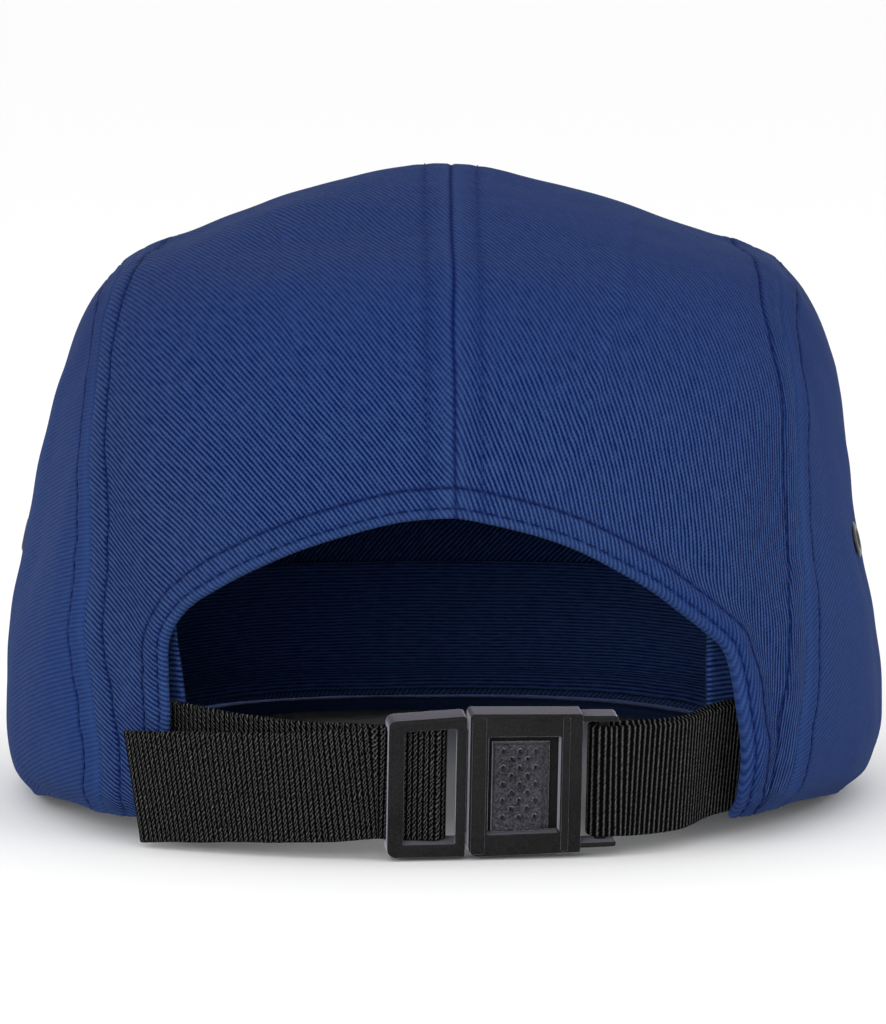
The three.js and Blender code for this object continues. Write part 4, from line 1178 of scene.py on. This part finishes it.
def enamel_material(name, color):
    n = Nodes(name, color, 0.3, {"Specular IOR Level": 0.5})
    where = n.add("TexCoord").outputs["Object"]
    rubbed = n.noise(where, 600.0, 4.0)
    tone = n.mix(n.math("POWER", rubbed, 6.0), color, (0.05, 0.05, 0.05))
    return n.finish(Base_Color=tone, Roughness=n.math("MULTIPLY_ADD", rubbed, 0.3, 0.2))


def thread_material(name, color):
    n = Nodes(name, color, 0.7, {"Specular IOR Level": 0.05})
    where = n.add("TexCoord").outputs["Object"]
    strands = n.noise(where, 4000.0, 1.0)
    tone = n.mix(strands, tuple(0.6 * c for c in color), tuple(1.4 * c for c in color))
    return n.finish(Base_Color=tone, Normal=n.bump(strands, 0.00005, 0.6))


BLUE_DARK, BLUE_LIGHT = (0.0005, 0.0064, 0.064), (0.034, 0.072, 0.2)
# The side panels' colours are a darker copy of the twill's: painted shade for panels that face away from the
# light.
SHADED_SIDE_DARK, SHADED_SIDE_LIGHT = (0.0005, 0.0057, 0.056), (0.026, 0.058, 0.173)
BLACK = (0.0006, 0.0006, 0.0006)
CLIP_DARK, CLIP_LIGHT = (0.0004, 0.0004, 0.0004), (0.0135, 0.0135, 0.014)
PAD_DARK, PAD_LIGHT = (0.001, 0.001, 0.0015), (0.066, 0.063, 0.076)
twill = twill_material("twill", BLUE_DARK, BLUE_LIGHT)
# A shaded copy of the twill, with weaker painted twill highlights: painted shade on the side panels.
shaded_side_twill = twill_material("shaded_side_twill", SHADED_SIDE_DARK, SHADED_SIDE_LIGHT, contrast=0.22)
band_twill = twill_material("band_twill", BLUE_DARK, BLUE_LIGHT, pitch=0.78, contrast=0.65)
# The lighter grey of both webbings is painted highlight on black yarn.
braided_webbing = webbing_material("webbing", BLACK, (0.14, 0.14, 0.14), swing=0.25, yarn=0.14)
ribbed_webbing = webbing_material("ribbed_webbing", BLACK, (0.12, 0.12, 0.12), swing=0.06, yarn=0.19)
buckle_black = plastic_material("buckle_plastic", CLIP_DARK, CLIP_LIGHT, 2600.0, 0.00008)
button_grey = plastic_material("button_plastic", PAD_DARK, PAD_LIGHT, 2200.0, 0.0003, 0.6, 1.6)
enamel = enamel_material("eyelet_metal", (0.004, 0.004, 0.005))
navy_thread = thread_material("navy_thread", (0.002, 0.008, 0.05))
blue_thread = thread_material("blue_thread", (0.008, 0.024, 0.1))

# The view
camera = bpy.data.objects.new("camera", bpy.data.cameras.new("camera"))
bpy.context.scene.collection.objects.link(camera)
bpy.context.scene.camera = camera
bpy.context.scene.view_settings.view_transform = "Standard"
elevation = math.radians(VIEW["elevation"])
target = SHIFT + Vector((0, 0, VIEW["height"] * MM))
away = Vector((0, -math.cos(elevation), math.sin(elevation)))
camera.location = target + away * VIEW["distance"] * MM
camera.rotation_euler = (math.pi / 2 - elevation, 0, 0)
camera.data.sensor_fit = "VERTICAL"
camera.data.sensor_height = 24.0
shown = VIEW["pixels_high"] / VIEW["pixels_per_mm"]
camera.data.lens = camera.data.sensor_height * VIEW["distance"] / shown
camera.data.clip_start, camera.data.clip_end = 0.01, 200

# The crown
for side in ("left", "right"):
    half_front = part(front_top, 0.0 if side == "left" else 1.0, 0.5)
    links = [part(side_seam[side], 0.0, REAR_SHARE), part(side_seam[side], REAR_SHARE, 1.0), half_front]
    outside = chain(links, OUTSIDE_FACETS)
    corner = rim(ARCH[side][0], SIDE_SEAM[side][0])
    patch = between(arch[side], outside, corner, mid_seam)
    cloth_panel("top_panel_" + side, patch, twill)

for side in ("left", "right"):
    rear = part(side_seam[side], 0.0, REAR_SHARE)
    top = part(side_seam[side], REAR_SHARE, 1.0)
    low = rim(SIDE_SEAM[side][0], FRONT_SEAM[side][0], -360 if side == "left" else 0)
    patch = between(low, top, rear, front_seam[side])
    cloth_panel("side_panel_" + side, patch, shaded_side_twill)

low = rim(FRONT_SEAM["left"][0], FRONT_SEAM["right"][0])
front = between(low, front_top, front_seam["left"], front_seam["right"])
cloth_panel("front_panel", front, twill)

# The other pieces
topstitching()
sweatband()
peak()
strap("strap_left", TAPE_LEFT, STRAP_BAR, -1, braided_webbing)
strap("strap_right", TAPE_RIGHT, END_BAR, 1, ribbed_webbing)
clip()
grip_pad()
for name, spot in EYELETS.items():
    eyelet(name, spot)

# The floor and the light
corners = [(x * FLOOR, y * FLOOR, 0) for x, y in ((-1, -1), (1, -1), (1, 1), (-1, 1))]
paper = Nodes("paper", (0.92, 0.92, 0.92), 0.9, {"Specular IOR Level": 0.1}).material
floor = new_object("floor", corners, [(0, 1, 2, 3)], paper)

world = bpy.data.worlds.new("studio")
bpy.context.scene.world = world
world.use_nodes = True
world.node_tree.nodes["Background"].inputs[0].default_value = (1.0, 1.0, 1.0, 1)
world.node_tree.nodes["Background"].inputs[1].default_value = SKY
for name, (position, size, power) in SOFTBOXES.items():
    softbox(name, position, size, power)
